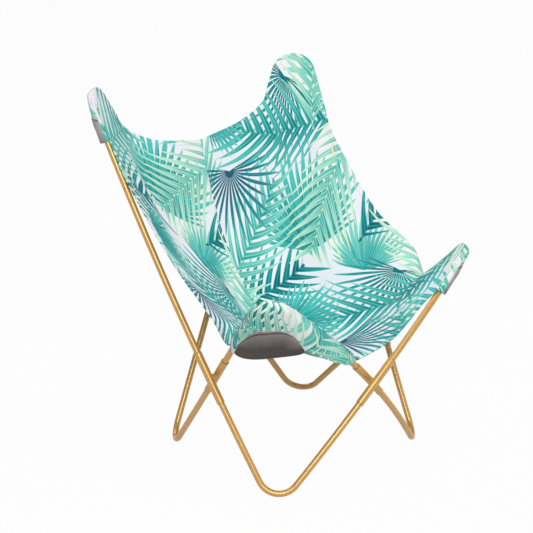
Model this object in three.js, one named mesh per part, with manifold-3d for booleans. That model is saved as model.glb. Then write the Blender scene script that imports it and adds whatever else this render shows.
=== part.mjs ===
// Butterfly sling chair: a knock-down frame of eight bent tubes pushed into four crossed
// connectors, and a two-panel canvas sling that hangs by four corner pockets.
// Millimetres, +Z up. The sitter looks along -Y, so the sitter's left is +X.
import * as THREE from 'three';
import { mergeVertices } from 'three/addons/utils/BufferGeometryUtils.js';
import Module from 'manifold-3d';

// Frame tube
const TUBE_OD = 15;
const TUBE_WALL = 1.5;
const FOOT_BEND_RADIUS = 50;
const TOP_BEND_RADIUS = 45;
const FOOT_FLAT_DEPTH = 1;
const TUBE_END_GAP = 4;

// Crossed connectors
const SLEEVE_LENGTH = 130;
const SLEEVE_WALL = 1.5;
const SLEEVE_FIT = 0.3;
const BOSS_OD = 13;
const BOSS_HEIGHT = 4;
const SEAT_GAP = 0.3;

// Points where the two arms of a hairpin would meet if it had no bend
const FOOT_FRONT_X = 255;
const FOOT_FRONT_Y = -223;
const FOOT_REAR_X = 235;
const FOOT_REAR_Y = 206;
const TOP_FRONT_X = 338;
const TOP_FRONT_Y = -268;
const TOP_FRONT_Z = 517;
const TOP_REAR_X = 347;
const TOP_REAR_Y = 357;
const TOP_REAR_Z = 975;

// Points midway between the two tubes of a crossing
const CROSS_SIDE_X = 286;
const CROSS_SIDE_Y = -43;
const CROSS_SIDE_Z = 252;
const CROSS_FRONT_Y = -280;
const CROSS_FRONT_Z = 236;
const CROSS_REAR_Y = 274;
const CROSS_REAR_Z = 351;

// Sling cloth and its free edges
const CLOTH = 1.6;
const CENTRE_SEAM_GAP = 0.4;
const CLOTH_TUBE_CLEARANCE = 0.8;
const FRONT_EDGE_Y = -247;
const FRONT_EDGE_Z = 283;
const FRONT_EDGE_RISE_X = 112;
const FRONT_EDGE_RISE_Z = 306;
const TOP_EDGE_Y = 327;
const TOP_EDGE_Z = 696;
const TOP_EDGE_RISE_X = 150;
const TOP_EDGE_RISE_Y = 334;
const TOP_EDGE_RISE_Z = 722;
const SIDE_LOW_X = 330;
const SIDE_LOW_Y = -100;
const SIDE_LOW_Z = 442;
const SIDE_MID_X = 321;
const SIDE_MID_Y = 20;
const SIDE_MID_Z = 514;
const SIDE_HIGH_X = 324;
const SIDE_HIGH_Y = 130;
const SIDE_HIGH_Z = 618;
const SLACK_SIDE_OUT = 10;
const SLACK_SIDE_DROP = 16;
const SEAT_Y = -75;
const SEAT_Z = 258;
const LAP_Y = 95;
const LAP_Z = 292;
const BACK_Y = 240;
const BACK_Z = 470;

// Corner pockets; the slack one is at the sitter's right knee
const FRONT_POCKET_DEPTH = 120;
const REAR_POCKET_DEPTH = 115;
const POCKET_GAPE = 22;
const HOOD_DEPTH = 50;
const SLACK_POCKET_DEPTH = 150;
const SLACK_POCKET_GAPE = 42;
const SLACK_HOOD_DEPTH = 64;
const HOOD_NOSE = [0.1, 1, 3.5, 9, 18, 30];
const HOOD_CLEARANCE = 1;
const ARCH_POWER = 4;
const FLAP_CLOTH = 1.4;
const FLAP_FROM = 0.12;
const FLAP_TO = 0.89;
const SLACK_FLAP_FROM = 0.32;
const FLAP_INSET = 0.006;
const STITCH_GAP = 0.65;

// Cloth that lies over the arms past the pockets
const REAR_SIDE_COVER = 190;
const POCKET_COVER = 6;
const FRONT_ARM_COVER = 262;
const EDGE_LEAD = 30;
const LEAD_INSET = 18;
const LEAD_RISE = 4;
const BRIM_END = 0.02;

const TUBE_RADIUS = TUBE_OD / 2;
const BORE_RADIUS = TUBE_RADIUS - TUBE_WALL;
const SLEEVE_BORE = TUBE_RADIUS + SLEEVE_FIT;
const SLEEVE_RADIUS = SLEEVE_BORE + SLEEVE_WALL;
const HALF_CROSS = SLEEVE_RADIUS + SEAT_GAP + BOSS_HEIGHT / 2;
const CLOTH_OFFSET = TUBE_RADIUS + CLOTH_TUBE_CLEARANCE + CLOTH / 2;
const RIM_OFFSET = CLOTH_OFFSET + HOOD_CLEARANCE;
const TUBE_SIDES = 12;
const BORE_SIDES = 7;
const GROUND = 2000;

const wasm = await Module();
wasm.setup();

const vec = (x, y, z) => new THREE.Vector3(x, y, z);

// Moves a point by so much along each of the given directions: shift(p, [dir, amount], ...).
function shift(point, ...moves) {
  const moved = point.clone();
  for (const [direction, amount] of moves) {
    moved.addScaledVector(direction, amount);
  }
  return moved;
}

// A solid of the boolean kernel, from a closed three.js geometry.
function solid(geometry) {
  const bare = geometry.clone();
  bare.deleteAttribute('normal');
  bare.deleteAttribute('uv');
  const merged = mergeVertices(bare, 1e-4);
  return new wasm.Manifold(new wasm.Mesh({
    numProp: 3,
    vertProperties: Float32Array.from(merged.attributes.position.array),
    triVerts: Uint32Array.from(merged.index.array),
  }));
}

function geometryOf(manifold) {
  const mesh = manifold.getMesh();
  const geometry = new THREE.BufferGeometry();
  geometry.setAttribute('position', new THREE.BufferAttribute(mesh.vertProperties, 3));
  geometry.setIndex(new THREE.BufferAttribute(mesh.triVerts, 1));
  geometry.computeVertexNormals();
  return geometry;
}

// One springy arm: a shallow curve from a foot corner through its crossing to a top corner.
class Arm {
  constructor(foot, cross, top) {
    this.foot = foot;
    this.top = top;
    const below = cross.distanceTo(foot);
    const above = cross.distanceTo(top);
    const t = below / (below + above);
    this.crossing = t;
    this.pull = shift(cross, [foot, -((1 - t) ** 2)], [top, -(t ** 2)]);
    this.pull.divideScalar(2 * t * (1 - t));
    this.length = below + above;
  }

  point(t) {
    const start = this.foot.clone().multiplyScalar((1 - t) ** 2);
    return shift(start, [this.pull, 2 * t * (1 - t)], [this.top, t ** 2]);
  }

  direction(t) {
    return this.point(t + 1e-3).sub(this.point(t - 1e-3)).normalize();
  }

  // The parameter at a straight distance from the foot corner, or from the top corner.
  at(corner, distance) {
    let near = corner === this.foot ? 0 : 1;
    let far = this.crossing;
    for (let i = 0; i < 40; i += 1) {
      const middle = (near + far) / 2;
      if (this.point(middle).distanceTo(corner) < distance) {
        near = middle;
      } else {
        far = middle;
      }
    }
    return near;
  }
}

// The bend that joins two arms at a corner, with the axes of its plane.
function bendAt(corner, armA, armB, radius) {
  let reach = radius;
  let a;
  let b;
  let half;
  for (let i = 0; i < 8; i += 1) {
    a = armA.point(armA.at(corner, reach)).sub(corner).normalize();
    b = armB.point(armB.at(corner, reach)).sub(corner).normalize();
    half = a.angleTo(b) / 2;
    reach = radius / Math.tan(half);
  }
  const down = a.clone().add(b).normalize();
  const across = b.clone().sub(a).normalize();
  const out = new THREE.Vector3().crossVectors(down, across);
  out.multiplyScalar(-Math.sign(out.z));
  const centre = shift(corner, [down, radius / Math.sin(half)]);
  return { corner, armA, armB, radius, reach, half, down, across, out, centre };
}

// A path through given stations, so that steps can be close in a bend and long on an arm.
class StationPath extends THREE.Curve {
  constructor(stations) {
    super();
    this.stations = stations;
  }

  getPoint(t) {
    const last = this.stations.length - 1;
    const place = Math.min(Math.max(t, 0), 1) * last;
    const index = Math.min(Math.floor(place), last - 1);
    return this.stations[index].clone().lerp(this.stations[index + 1], place - index);
  }

  getTangent(t) {
    const step = 0.5 / (this.stations.length - 1);
    return this.getPoint(t + step).sub(this.getPoint(t - step)).normalize();
  }

  getUtoTmapping(u) {
    return u;
  }
}

// A regular polygon; an outside one has its flats, not its corners, at the radius.
function ring(radius, sides, outside) {
  const reach = outside ? radius / Math.cos(Math.PI / sides) : radius;
  const points = [];
  for (let i = 0; i < sides; i += 1) {
    const angle = (i * 2 * Math.PI) / sides;
    points.push(new THREE.Vector2(reach * Math.cos(angle), reach * Math.sin(angle)));
  }
  return points;
}

function pipe(stations, outer, bore) {
  const shape = new THREE.Shape(outer);
  shape.holes.push(new THREE.Path(bore));
  return new THREE.ExtrudeGeometry(shape, {
    steps: stations.length - 1,
    bevelEnabled: false,
    extrudePath: new StationPath(stations),
  });
}

function spread(from, to, steps) {
  return Array.from({ length: steps + 1 }, (_, i) => from + ((to - from) * i) / steps);
}

// A hairpin: from inside one connector, round the bend, to inside the next connector.
function hairpin(bend, armSteps, bendSteps) {
  const leg = (arm) => {
    const toFoot = bend.corner === arm.foot;
    const end = arm.crossing + ((toFoot ? -1 : 1) * TUBE_END_GAP) / 2 / arm.length;
    return spread(end, arm.at(bend.corner, bend.reach), armSteps).map((t) => arm.point(t));
  };
  const sweep = Math.PI / 2 - bend.half;
  const arc = spread(-sweep, sweep, bendSteps).slice(1, -1).map((angle) => shift(
    bend.centre,
    [bend.down, -bend.radius * Math.cos(angle)],
    [bend.across, bend.radius * Math.sin(angle)],
  ));
  const stations = [...leg(bend.armA), ...arc, ...leg(bend.armB).reverse()];
  return pipe(stations, ring(TUBE_RADIUS, TUBE_SIDES), ring(BORE_RADIUS, BORE_SIDES));
}

// A thin closed shell about a grid of points: rows of equal length.
function shell(rows, thickness) {
  const height = rows.length;
  const width = rows[0].length;
  const sheet = new THREE.BufferGeometry().setFromPoints(rows.flat());
  const at = (i, j) => i * width + j;
  const faces = [];
  for (let i = 0; i + 1 < height; i += 1) {
    for (let j = 0; j + 1 < width; j += 1) {
      faces.push(at(i, j), at(i + 1, j), at(i + 1, j + 1));
      faces.push(at(i, j), at(i + 1, j + 1), at(i, j + 1));
    }
  }
  sheet.setIndex(faces);
  sheet.computeVertexNormals();
  const count = width * height;
  const points = [];
  for (const face of [1, -1]) {
    for (let k = 0; k < count; k += 1) {
      const normal = new THREE.Vector3().fromBufferAttribute(sheet.attributes.normal, k);
      points.push(shift(rows.flat()[k], [normal, (face * thickness) / 2]));
    }
  }
  const index = [...faces];
  for (let k = 0; k < faces.length; k += 3) {
    index.push(faces[k] + count, faces[k + 2] + count, faces[k + 1] + count);
  }
  const rim = [];
  for (let j = 0; j < width - 1; j += 1) rim.push(at(0, j));
  for (let i = 0; i < height - 1; i += 1) rim.push(at(i, width - 1));
  for (let j = width - 1; j > 0; j -= 1) rim.push(at(height - 1, j));
  for (let i = height - 1; i > 0; i -= 1) rim.push(at(i, 0));
  rim.forEach((from, k) => {
    const to = rim[(k + 1) % rim.length];
    index.push(from, to, to + count, from, to + count, from + count);
  });
  const geometry = new THREE.BufferGeometry().setFromPoints(points);
  geometry.setIndex(index);
  geometry.computeVertexNormals();
  return geometry;
}

// The cloth pocket round a top hairpin, in depths below its highest point.
class Tip {
  // The cloth lies over the end arm and the side arm down to the two covered depths, and the
  // flap starts at a part of the half turn from the end arm to the side arm.
  constructor(bend, pocket) {
    Object.assign(this, { bend }, pocket);
    this.radius = bend.radius + RIM_OFFSET;
    this.apex = shift(bend.centre, [bend.down, -this.radius]);
  }

  // A point of the rim on one side: round the bend, then along the arm.
  rim(side, depth) {
    const { corner, reach, half, down, across, out } = this.bend;
    const inward = [out, -CLOTH_OFFSET];
    if (depth < this.radius * (1 - Math.sin(half))) {
      const width = Math.sqrt(this.radius ** 2 - (this.radius - depth) ** 2);
      return shift(this.apex, [down, depth], [across, side * width], inward);
    }
    const arm = side < 0 ? this.bend.armA : this.bend.armB;
    const beside = [across, side * RIM_OFFSET * Math.cos(half)];
    let near = arm.at(corner, reach);
    let far = arm.crossing;
    let point;
    for (let i = 0; i < 40; i += 1) {
      const middle = (near + far) / 2;
      point = shift(arm.point(middle), beside, [down, -RIM_OFFSET * Math.sin(half)], inward);
      if (point.clone().sub(this.apex).dot(down) < depth) {
        near = middle;
      } else {
        far = middle;
      }
    }
    return point;
  }

  // How far down the cloth lies over the arm on one side.
  cover(side) {
    return side < 0 ? this.endCover : this.sideCover;
  }

  // Points of the rim on one side, from the end of the cover up to the apex.
  edge(side) {
    return [1, 0.72, 0.46, 0.25, 0.1, 0.02].map((part) => this.rim(side, part * this.cover(side)));
  }

  top() {
    return shift(this.apex, [this.bend.out, -CLOTH_OFFSET]);
  }

  // Where an edge comes up between the arms before it crosses over one of them.
  lead(side) {
    const { across, out } = this.bend;
    const rim = this.rim(side, this.cover(side) + EDGE_LEAD);
    return shift(rim, [across, -side * LEAD_INSET], [out, -LEAD_RISE]);
  }

  // The pocket's outer wall: an arch over the tubes that gapes towards the mouth.
  wall(depth, angle) {
    const base = CLOTH / 2 + STITCH_GAP;
    const nose = 1 - Math.min(depth / RIM_OFFSET, 1);
    const gape = RIM_OFFSET + (this.gape - RIM_OFFSET) * (depth / this.depth);
    const rise = (gape + CLOTH_OFFSET - base) * Math.sqrt(1 - nose ** 2);
    const arch = Math.max(Math.sin(angle), 0) ** (2 / ARCH_POWER);
    const turn = Math.cos(angle);
    const across = Math.sign(turn) * Math.abs(turn) ** (2 / ARCH_POWER);
    const foot = this.rim(-1, depth).lerp(this.rim(1, depth), (1 - across) / 2);
    return shift(foot, [this.bend.out, base + rise * arch]);
  }

  // Depth of the curved seam between the printed hood and the plain flap.
  seam(angle) {
    const part = (angle / Math.PI - this.flapFrom) / (FLAP_TO - this.flapFrom);
    const arch = Math.sin(Math.PI * (0.1 + 0.8 * part)) ** 0.8;
    return this.depth - (this.depth - this.hoodDepth) * arch;
  }

  flapAngles(inset) {
    return spread((this.flapFrom + inset) * Math.PI, (FLAP_TO - inset) * Math.PI, 12);
  }
}

// The printed cloth turned over the tip. Beside the flap it reaches down to the mouth.
function hood(tip) {
  const end = tip.depth - STITCH_GAP / 2;
  const columns = tip.flapAngles(0).map((angle) => [angle, tip.seam(angle) - STITCH_GAP / 2]);
  const first = columns[0][0] - FLAP_INSET * Math.PI;
  const last = columns.at(-1)[0] + FLAP_INSET * Math.PI;
  columns.unshift(...spread(0, first, 3).map((angle) => [angle, end]));
  columns.push(...spread(last, Math.PI, 2).map((angle) => [angle, end]));
  const nose = HOOD_NOSE.map((depth) => columns.map(([angle]) => tip.wall(depth, angle)));
  const from = HOOD_NOSE.at(-1);
  const face = spread(0, 1, 3).slice(1).map((part) => columns.map(([angle, reach]) => (
    tip.wall(from + (reach - from) * part, angle))));
  return shell([...nose, ...face], FLAP_CLOTH);
}

function flap(tip) {
  const rows = spread(0, 1, 5).map((part) => tip.flapAngles(FLAP_INSET).map((angle) => {
    const start = tip.seam(angle) + STITCH_GAP / 2;
    return tip.wall(start + (tip.depth - start) * part, angle);
  }));
  return shell(rows, FLAP_CLOTH);
}

// The wall goes on past the mouth in front of the end arm, narrowing to the end of the cover.
function brim(tip) {
  const start = tip.depth + STITCH_GAP / 2;
  const rows = spread(0, 1, 16).map((part) => {
    const turn = tip.flapFrom + (BRIM_END - tip.flapFrom) * part;
    const depth = start + part * (tip.endCover - start);
    return spread(0, turn * Math.PI, 5).map((angle) => tip.wall(depth, angle));
  });
  return shell(rows, FLAP_CLOTH);
}

const curve = (points) => new THREE.CatmullRomCurve3(points, false, 'centripetal');

// Half of the sling, from the centre seam to the side edge, hung between its two tips.
function panel(side, front, rear) {
  const seam = (side * CENTRE_SEAM_GAP) / 2;
  const rise = vec(side * FRONT_EDGE_RISE_X, FRONT_EDGE_Y, FRONT_EDGE_RISE_Z);
  const frontEdge = curve([
    vec(seam, FRONT_EDGE_Y, FRONT_EDGE_Z),
    ...(front.brim ? [] : [rise]),
    front.lead(-1),
    ...front.edge(-1),
    front.top(),
  ]);
  const topEdge = curve([
    vec(seam, TOP_EDGE_Y, TOP_EDGE_Z),
    vec(side * TOP_EDGE_RISE_X, TOP_EDGE_RISE_Y, TOP_EDGE_RISE_Z),
    ...rear.edge(-1),
    rear.top(),
  ]);
  const centreLine = curve([
    vec(seam, FRONT_EDGE_Y, FRONT_EDGE_Z),
    vec(seam, SEAT_Y, SEAT_Z),
    vec(seam, LAP_Y, LAP_Z),
    vec(seam, BACK_Y, BACK_Z),
    vec(seam, TOP_EDGE_Y, TOP_EDGE_Z),
  ]);
  const slackOut = front.brim ? SLACK_SIDE_OUT : 0;
  const slackDrop = front.brim ? SLACK_SIDE_DROP : 0;
  const sideEdge = curve([
    front.top(),
    ...front.edge(1).reverse(),
    vec(side * (SIDE_LOW_X + slackOut), SIDE_LOW_Y, SIDE_LOW_Z - slackDrop),
    vec(side * (SIDE_MID_X + slackOut), SIDE_MID_Y, SIDE_MID_Z - slackDrop),
    vec(side * (SIDE_HIGH_X + slackOut), SIDE_HIGH_Y, SIDE_HIGH_Z - slackDrop),
    ...rear.edge(1),
    rear.top(),
  ]);
  const corners = [[frontEdge.getPoint(0), frontEdge.getPoint(1)],
    [topEdge.getPoint(0), topEdge.getPoint(1)]];
  const rows = spread(0, 1, 27).map((step) => {
    const v = (step + (1 - Math.cos(Math.PI * step)) / 2) / 2;
    return spread(0, 1, 19).map((part) => {
      const u = 1 - (1 - part) ** 1.5;
      const bowl = u ** 2;
      return shift(
        vec(0, 0, 0),
        [frontEdge.getPointAt(u), 1 - v],
        [topEdge.getPointAt(u), v],
        [centreLine.getPointAt(v), 1 - bowl],
        [sideEdge.getPointAt(v), bowl],
        [corners[0][0], -(1 - v) * (1 - bowl)],
        [corners[0][1], -(1 - v) * bowl],
        [corners[1][0], -v * (1 - bowl)],
        [corners[1][1], -v * bowl],
      );
    });
  });
  return shell(side > 0 ? rows : rows.map((row) => row.reverse()), CLOTH);
}

// Corners of the frame. The outer loop of tube passes outside the inner one at each crossing.
const level = { outer: HALF_CROSS, inner: -HALF_CROSS };
function corner(side, x, y, z, loop) {
  return vec(side * (x + level[loop]), y + Math.sign(y) * level[loop], z);
}

const corners = {
  foot_front_right: corner(-1, FOOT_FRONT_X, FOOT_FRONT_Y, 0, 'outer'),
  foot_front_left: corner(1, FOOT_FRONT_X, FOOT_FRONT_Y, 0, 'inner'),
  foot_rear_right: corner(-1, FOOT_REAR_X, FOOT_REAR_Y, 0, 'inner'),
  foot_rear_left: corner(1, FOOT_REAR_X, FOOT_REAR_Y, 0, 'outer'),
  top_front_right: corner(-1, TOP_FRONT_X, TOP_FRONT_Y, TOP_FRONT_Z, 'inner'),
  top_front_left: corner(1, TOP_FRONT_X, TOP_FRONT_Y, TOP_FRONT_Z, 'outer'),
  top_rear_right: corner(-1, TOP_REAR_X, TOP_REAR_Y, TOP_REAR_Z, 'outer'),
  top_rear_left: corner(1, TOP_REAR_X, TOP_REAR_Y, TOP_REAR_Z, 'inner'),
};

const crossings = {
  right: { point: vec(-CROSS_SIDE_X, CROSS_SIDE_Y, CROSS_SIDE_Z), outward: vec(-1, 0, 0) },
  left: { point: vec(CROSS_SIDE_X, CROSS_SIDE_Y, CROSS_SIDE_Z), outward: vec(1, 0, 0) },
  front: { point: vec(0, CROSS_FRONT_Y, CROSS_FRONT_Z), outward: vec(0, -1, 0) },
  rear: { point: vec(0, CROSS_REAR_Y, CROSS_REAR_Z), outward: vec(0, 1, 0) },
};

// Foot and top corner of the outer and the inner tube at each crossing
const routes = {
  right_outer: ['foot_front_right', 'top_rear_right'],
  right_inner: ['foot_rear_right', 'top_front_right'],
  left_outer: ['foot_rear_left', 'top_front_left'],
  left_inner: ['foot_front_left', 'top_rear_left'],
  front_outer: ['foot_front_right', 'top_front_left'],
  front_inner: ['foot_front_left', 'top_front_right'],
  rear_outer: ['foot_rear_left', 'top_rear_right'],
  rear_inner: ['foot_rear_right', 'top_rear_left'],
};

function makeArms() {
  const arms = {};
  for (const [name, [foot, top]] of Object.entries(routes)) {
    const [place, loop] = name.split('_');
    const { point, outward } = crossings[place];
    arms[name] = new Arm(corners[foot], shift(point, [outward, level[loop]]), corners[top]);
  }
  return arms;
}

// The bend of a corner; its end arm (front or rear crossing) comes before its side arm.
function cornerBend(arms, name) {
  const [end, beside] = Object.keys(routes)
    .filter((route) => routes[route].includes(name))
    .sort((a, b) => Number(/left|right/.test(a)) - Number(/left|right/.test(b)));
  const radius = name.startsWith('foot') ? FOOT_BEND_RADIUS : TOP_BEND_RADIUS;
  return bendAt(corners[name], arms[end], arms[beside], radius);
}

// Each foot corner is moved up or down until the bend stands its flat's depth in the floor.
let arms = makeArms();
for (let i = 0; i < 8; i += 1) {
  for (const name of Object.keys(corners).filter((key) => key.startsWith('foot'))) {
    const bend = cornerBend(arms, name);
    const low = bend.centre.z - bend.radius * Math.sqrt(1 - bend.out.z ** 2);
    corners[name].z += TUBE_RADIUS - FOOT_FLAT_DEPTH - low;
  }
  arms = makeArms();
}

const group = new THREE.Group();
const paint = { color: 0xc99a4a, metalness: 0.6, roughness: 0.35 };
const canvas = { color: 0x9fcac4, metalness: 0, roughness: 0.85, side: THREE.DoubleSide };
const leatherette = { color: 0x77706e, metalness: 0, roughness: 0.45, side: THREE.DoubleSide };

function add(name, geometry, finish) {
  const mesh = new THREE.Mesh(geometry, new THREE.MeshStandardMaterial(finish));
  mesh.name = name;
  group.add(mesh);
}

const floor = new THREE.BoxGeometry(GROUND, GROUND, GROUND).translate(0, 0, -GROUND / 2);
for (const name of Object.keys(corners)) {
  const bend = cornerBend(arms, name);
  if (name.startsWith('foot')) {
    const tube = solid(hairpin(bend, 6, 12));
    add(`${name}_hairpin`, geometryOf(tube.subtract(solid(floor))), paint);
  } else {
    add(`${name}_hairpin`, hairpin(bend, name.includes('rear') ? 9 : 6, 10), paint);
  }
}

const sleeveHole = ring(SLEEVE_BORE, TUBE_SIDES, true);
const sleeveSkin = ring(SLEEVE_RADIUS, TUBE_SIDES);
for (const [name, arm] of Object.entries(arms)) {
  const reach = SLEEVE_LENGTH / 2 / arm.length;
  const stations = spread(arm.crossing - reach, arm.crossing + reach, 4);
  add(`sleeve_${name}`, pipe(stations.map((t) => arm.point(t)), sleeveSkin, sleeveHole), paint);
}

// A rod as long as wanted, centred on a point.
function rod(point, direction, radius, length, sides) {
  const geometry = new THREE.CylinderGeometry(radius, radius, length, sides);
  const turn = new THREE.Quaternion().setFromUnitVectors(vec(0, 1, 0), direction);
  return geometry.applyQuaternion(turn).translate(point.x, point.y, point.z);
}

// A boss between the two sleeves of a crossing, its ends hollowed to sit on them.
for (const [name, { point, outward }] of Object.entries(crossings)) {
  let boss = solid(rod(point, outward, BOSS_OD / 2, 2 * HALF_CROSS, 16));
  for (const loop of ['outer', 'inner']) {
    const arm = arms[`${name}_${loop}`];
    const seat = (SLEEVE_RADIUS + SEAT_GAP) / Math.cos(Math.PI / 24);
    const axis = arm.direction(arm.crossing);
    boss = boss.subtract(solid(rod(arm.point(arm.crossing), axis, seat, SLEEVE_LENGTH, 24)));
  }
  add(`boss_${name}`, geometryOf(boss), paint);
}

const hugging = { gape: POCKET_GAPE, hoodDepth: HOOD_DEPTH, flapFrom: FLAP_FROM };
const pockets = {
  front_left: {
    ...hugging,
    depth: FRONT_POCKET_DEPTH,
    endCover: FRONT_POCKET_DEPTH + POCKET_COVER,
    sideCover: FRONT_POCKET_DEPTH + POCKET_COVER,
  },
  front_right: {
    gape: SLACK_POCKET_GAPE,
    hoodDepth: SLACK_HOOD_DEPTH,
    flapFrom: SLACK_FLAP_FROM,
    depth: SLACK_POCKET_DEPTH,
    endCover: FRONT_ARM_COVER,
    sideCover: SLACK_POCKET_DEPTH + POCKET_COVER,
    brim: true,
  },
  rear: {
    ...hugging,
    depth: REAR_POCKET_DEPTH,
    endCover: REAR_POCKET_DEPTH + POCKET_COVER,
    sideCover: REAR_SIDE_COVER,
  },
};

for (const [name, side] of [['left', 1], ['right', -1]]) {
  const front = new Tip(cornerBend(arms, `top_front_${name}`), pockets[`front_${name}`]);
  const rear = new Tip(cornerBend(arms, `top_rear_${name}`), pockets.rear);
  add(`sling_panel_${name}`, panel(side, front, rear), canvas);
  for (const [place, tip] of [['front', front], ['rear', rear]]) {
    add(`hood_${place}_${name}`, hood(tip), canvas);
    add(`flap_${place}_${name}`, flap(tip), leatherette);
    if (tip.brim) {
      add(`brim_${place}_${name}`, brim(tip), canvas);
    }
  }
}

// The finished chair stands with the middle of its plan on the origin.
const box = new THREE.Box3().setFromObject(group);
const middle = box.getCenter(new THREE.Vector3());
for (const mesh of group.children) {
  mesh.geometry.translate(-middle.x, -middle.y, 0);
}

export default group;
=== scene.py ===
"""Butterfly sling chair: smooth gold tube frame, printed canvas sling, grey corner flaps.

All lengths are in metres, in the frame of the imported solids. The sitter looks along -Y.
"""
import logging
import math
from dataclasses import dataclass, field
from enum import Enum

import bpy
import numpy as np
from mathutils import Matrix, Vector

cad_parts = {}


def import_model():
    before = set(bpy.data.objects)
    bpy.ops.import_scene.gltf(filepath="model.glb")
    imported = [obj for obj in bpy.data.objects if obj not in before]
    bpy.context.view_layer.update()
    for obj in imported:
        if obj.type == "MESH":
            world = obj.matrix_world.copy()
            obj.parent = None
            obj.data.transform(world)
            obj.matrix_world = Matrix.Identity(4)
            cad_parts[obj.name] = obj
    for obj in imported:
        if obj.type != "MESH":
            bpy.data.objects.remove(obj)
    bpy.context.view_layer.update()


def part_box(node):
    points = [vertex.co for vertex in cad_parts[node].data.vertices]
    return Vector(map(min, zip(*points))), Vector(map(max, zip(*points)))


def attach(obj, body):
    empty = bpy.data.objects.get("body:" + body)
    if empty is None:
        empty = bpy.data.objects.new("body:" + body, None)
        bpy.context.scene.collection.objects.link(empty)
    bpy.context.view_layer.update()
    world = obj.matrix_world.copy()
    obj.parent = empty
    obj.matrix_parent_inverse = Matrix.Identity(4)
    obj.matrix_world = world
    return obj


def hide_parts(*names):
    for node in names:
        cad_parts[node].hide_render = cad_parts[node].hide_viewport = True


Array = np.ndarray
Socket = bpy.types.NodeSocket
NodeTree = bpy.types.NodeTree
Material = bpy.types.Material
Piece = bpy.types.Object

logging.basicConfig(level=logging.INFO, format="%(name)s: %(message)s")
log = logging.getLogger("sling chair")

BODY = "root"
IMAGE_SIDE = 533
TINY = 1e-6
NO_GAP = 1e-9
NO_AREA = 1e-12


class Side(Enum):
    """The sitter's left or right, with its sign along X."""

    LEFT = 1
    RIGHT = -1

    @property
    def word(self) -> str:
        """The side's name as it stands in node names."""
        return self.name.lower()


class End(Enum):
    """The front or rear of the chair."""

    FRONT = "front"
    REAR = "rear"


class LeafKind(Enum):
    """The kinds of leaf in the print."""

    FAN = "fan leaf"
    SPIKE = "spiky fan leaf"
    FEATHER = "feather leaf"


def unit(vector: Array) -> Array:
    """A vector scaled to length one."""
    return vector / np.linalg.norm(vector)


def smooth(part: Array) -> Array:
    """A part from 0 to 1 eased at both ends: three of its squares less two of its cubes."""
    return part ** 2 * (3 - 2 * part)


def linear(hex_colour: str) -> tuple[float, float, float, float]:
    """A display colour as the linear colour that shaders use.

    Args:
        hex_colour: six hexadecimal digits.

    Returns:
        Red, green, blue and an alpha of one.
    """
    parts = np.array([int(hex_colour[i:i + 2], 16) for i in (0, 2, 4)]) / 255
    low, high = parts / 12.92, ((parts + 0.055) / 1.055) ** 2.4
    return (*np.where(parts <= 0.04045, low, high).tolist(), 1.0)


# Node graphs


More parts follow.
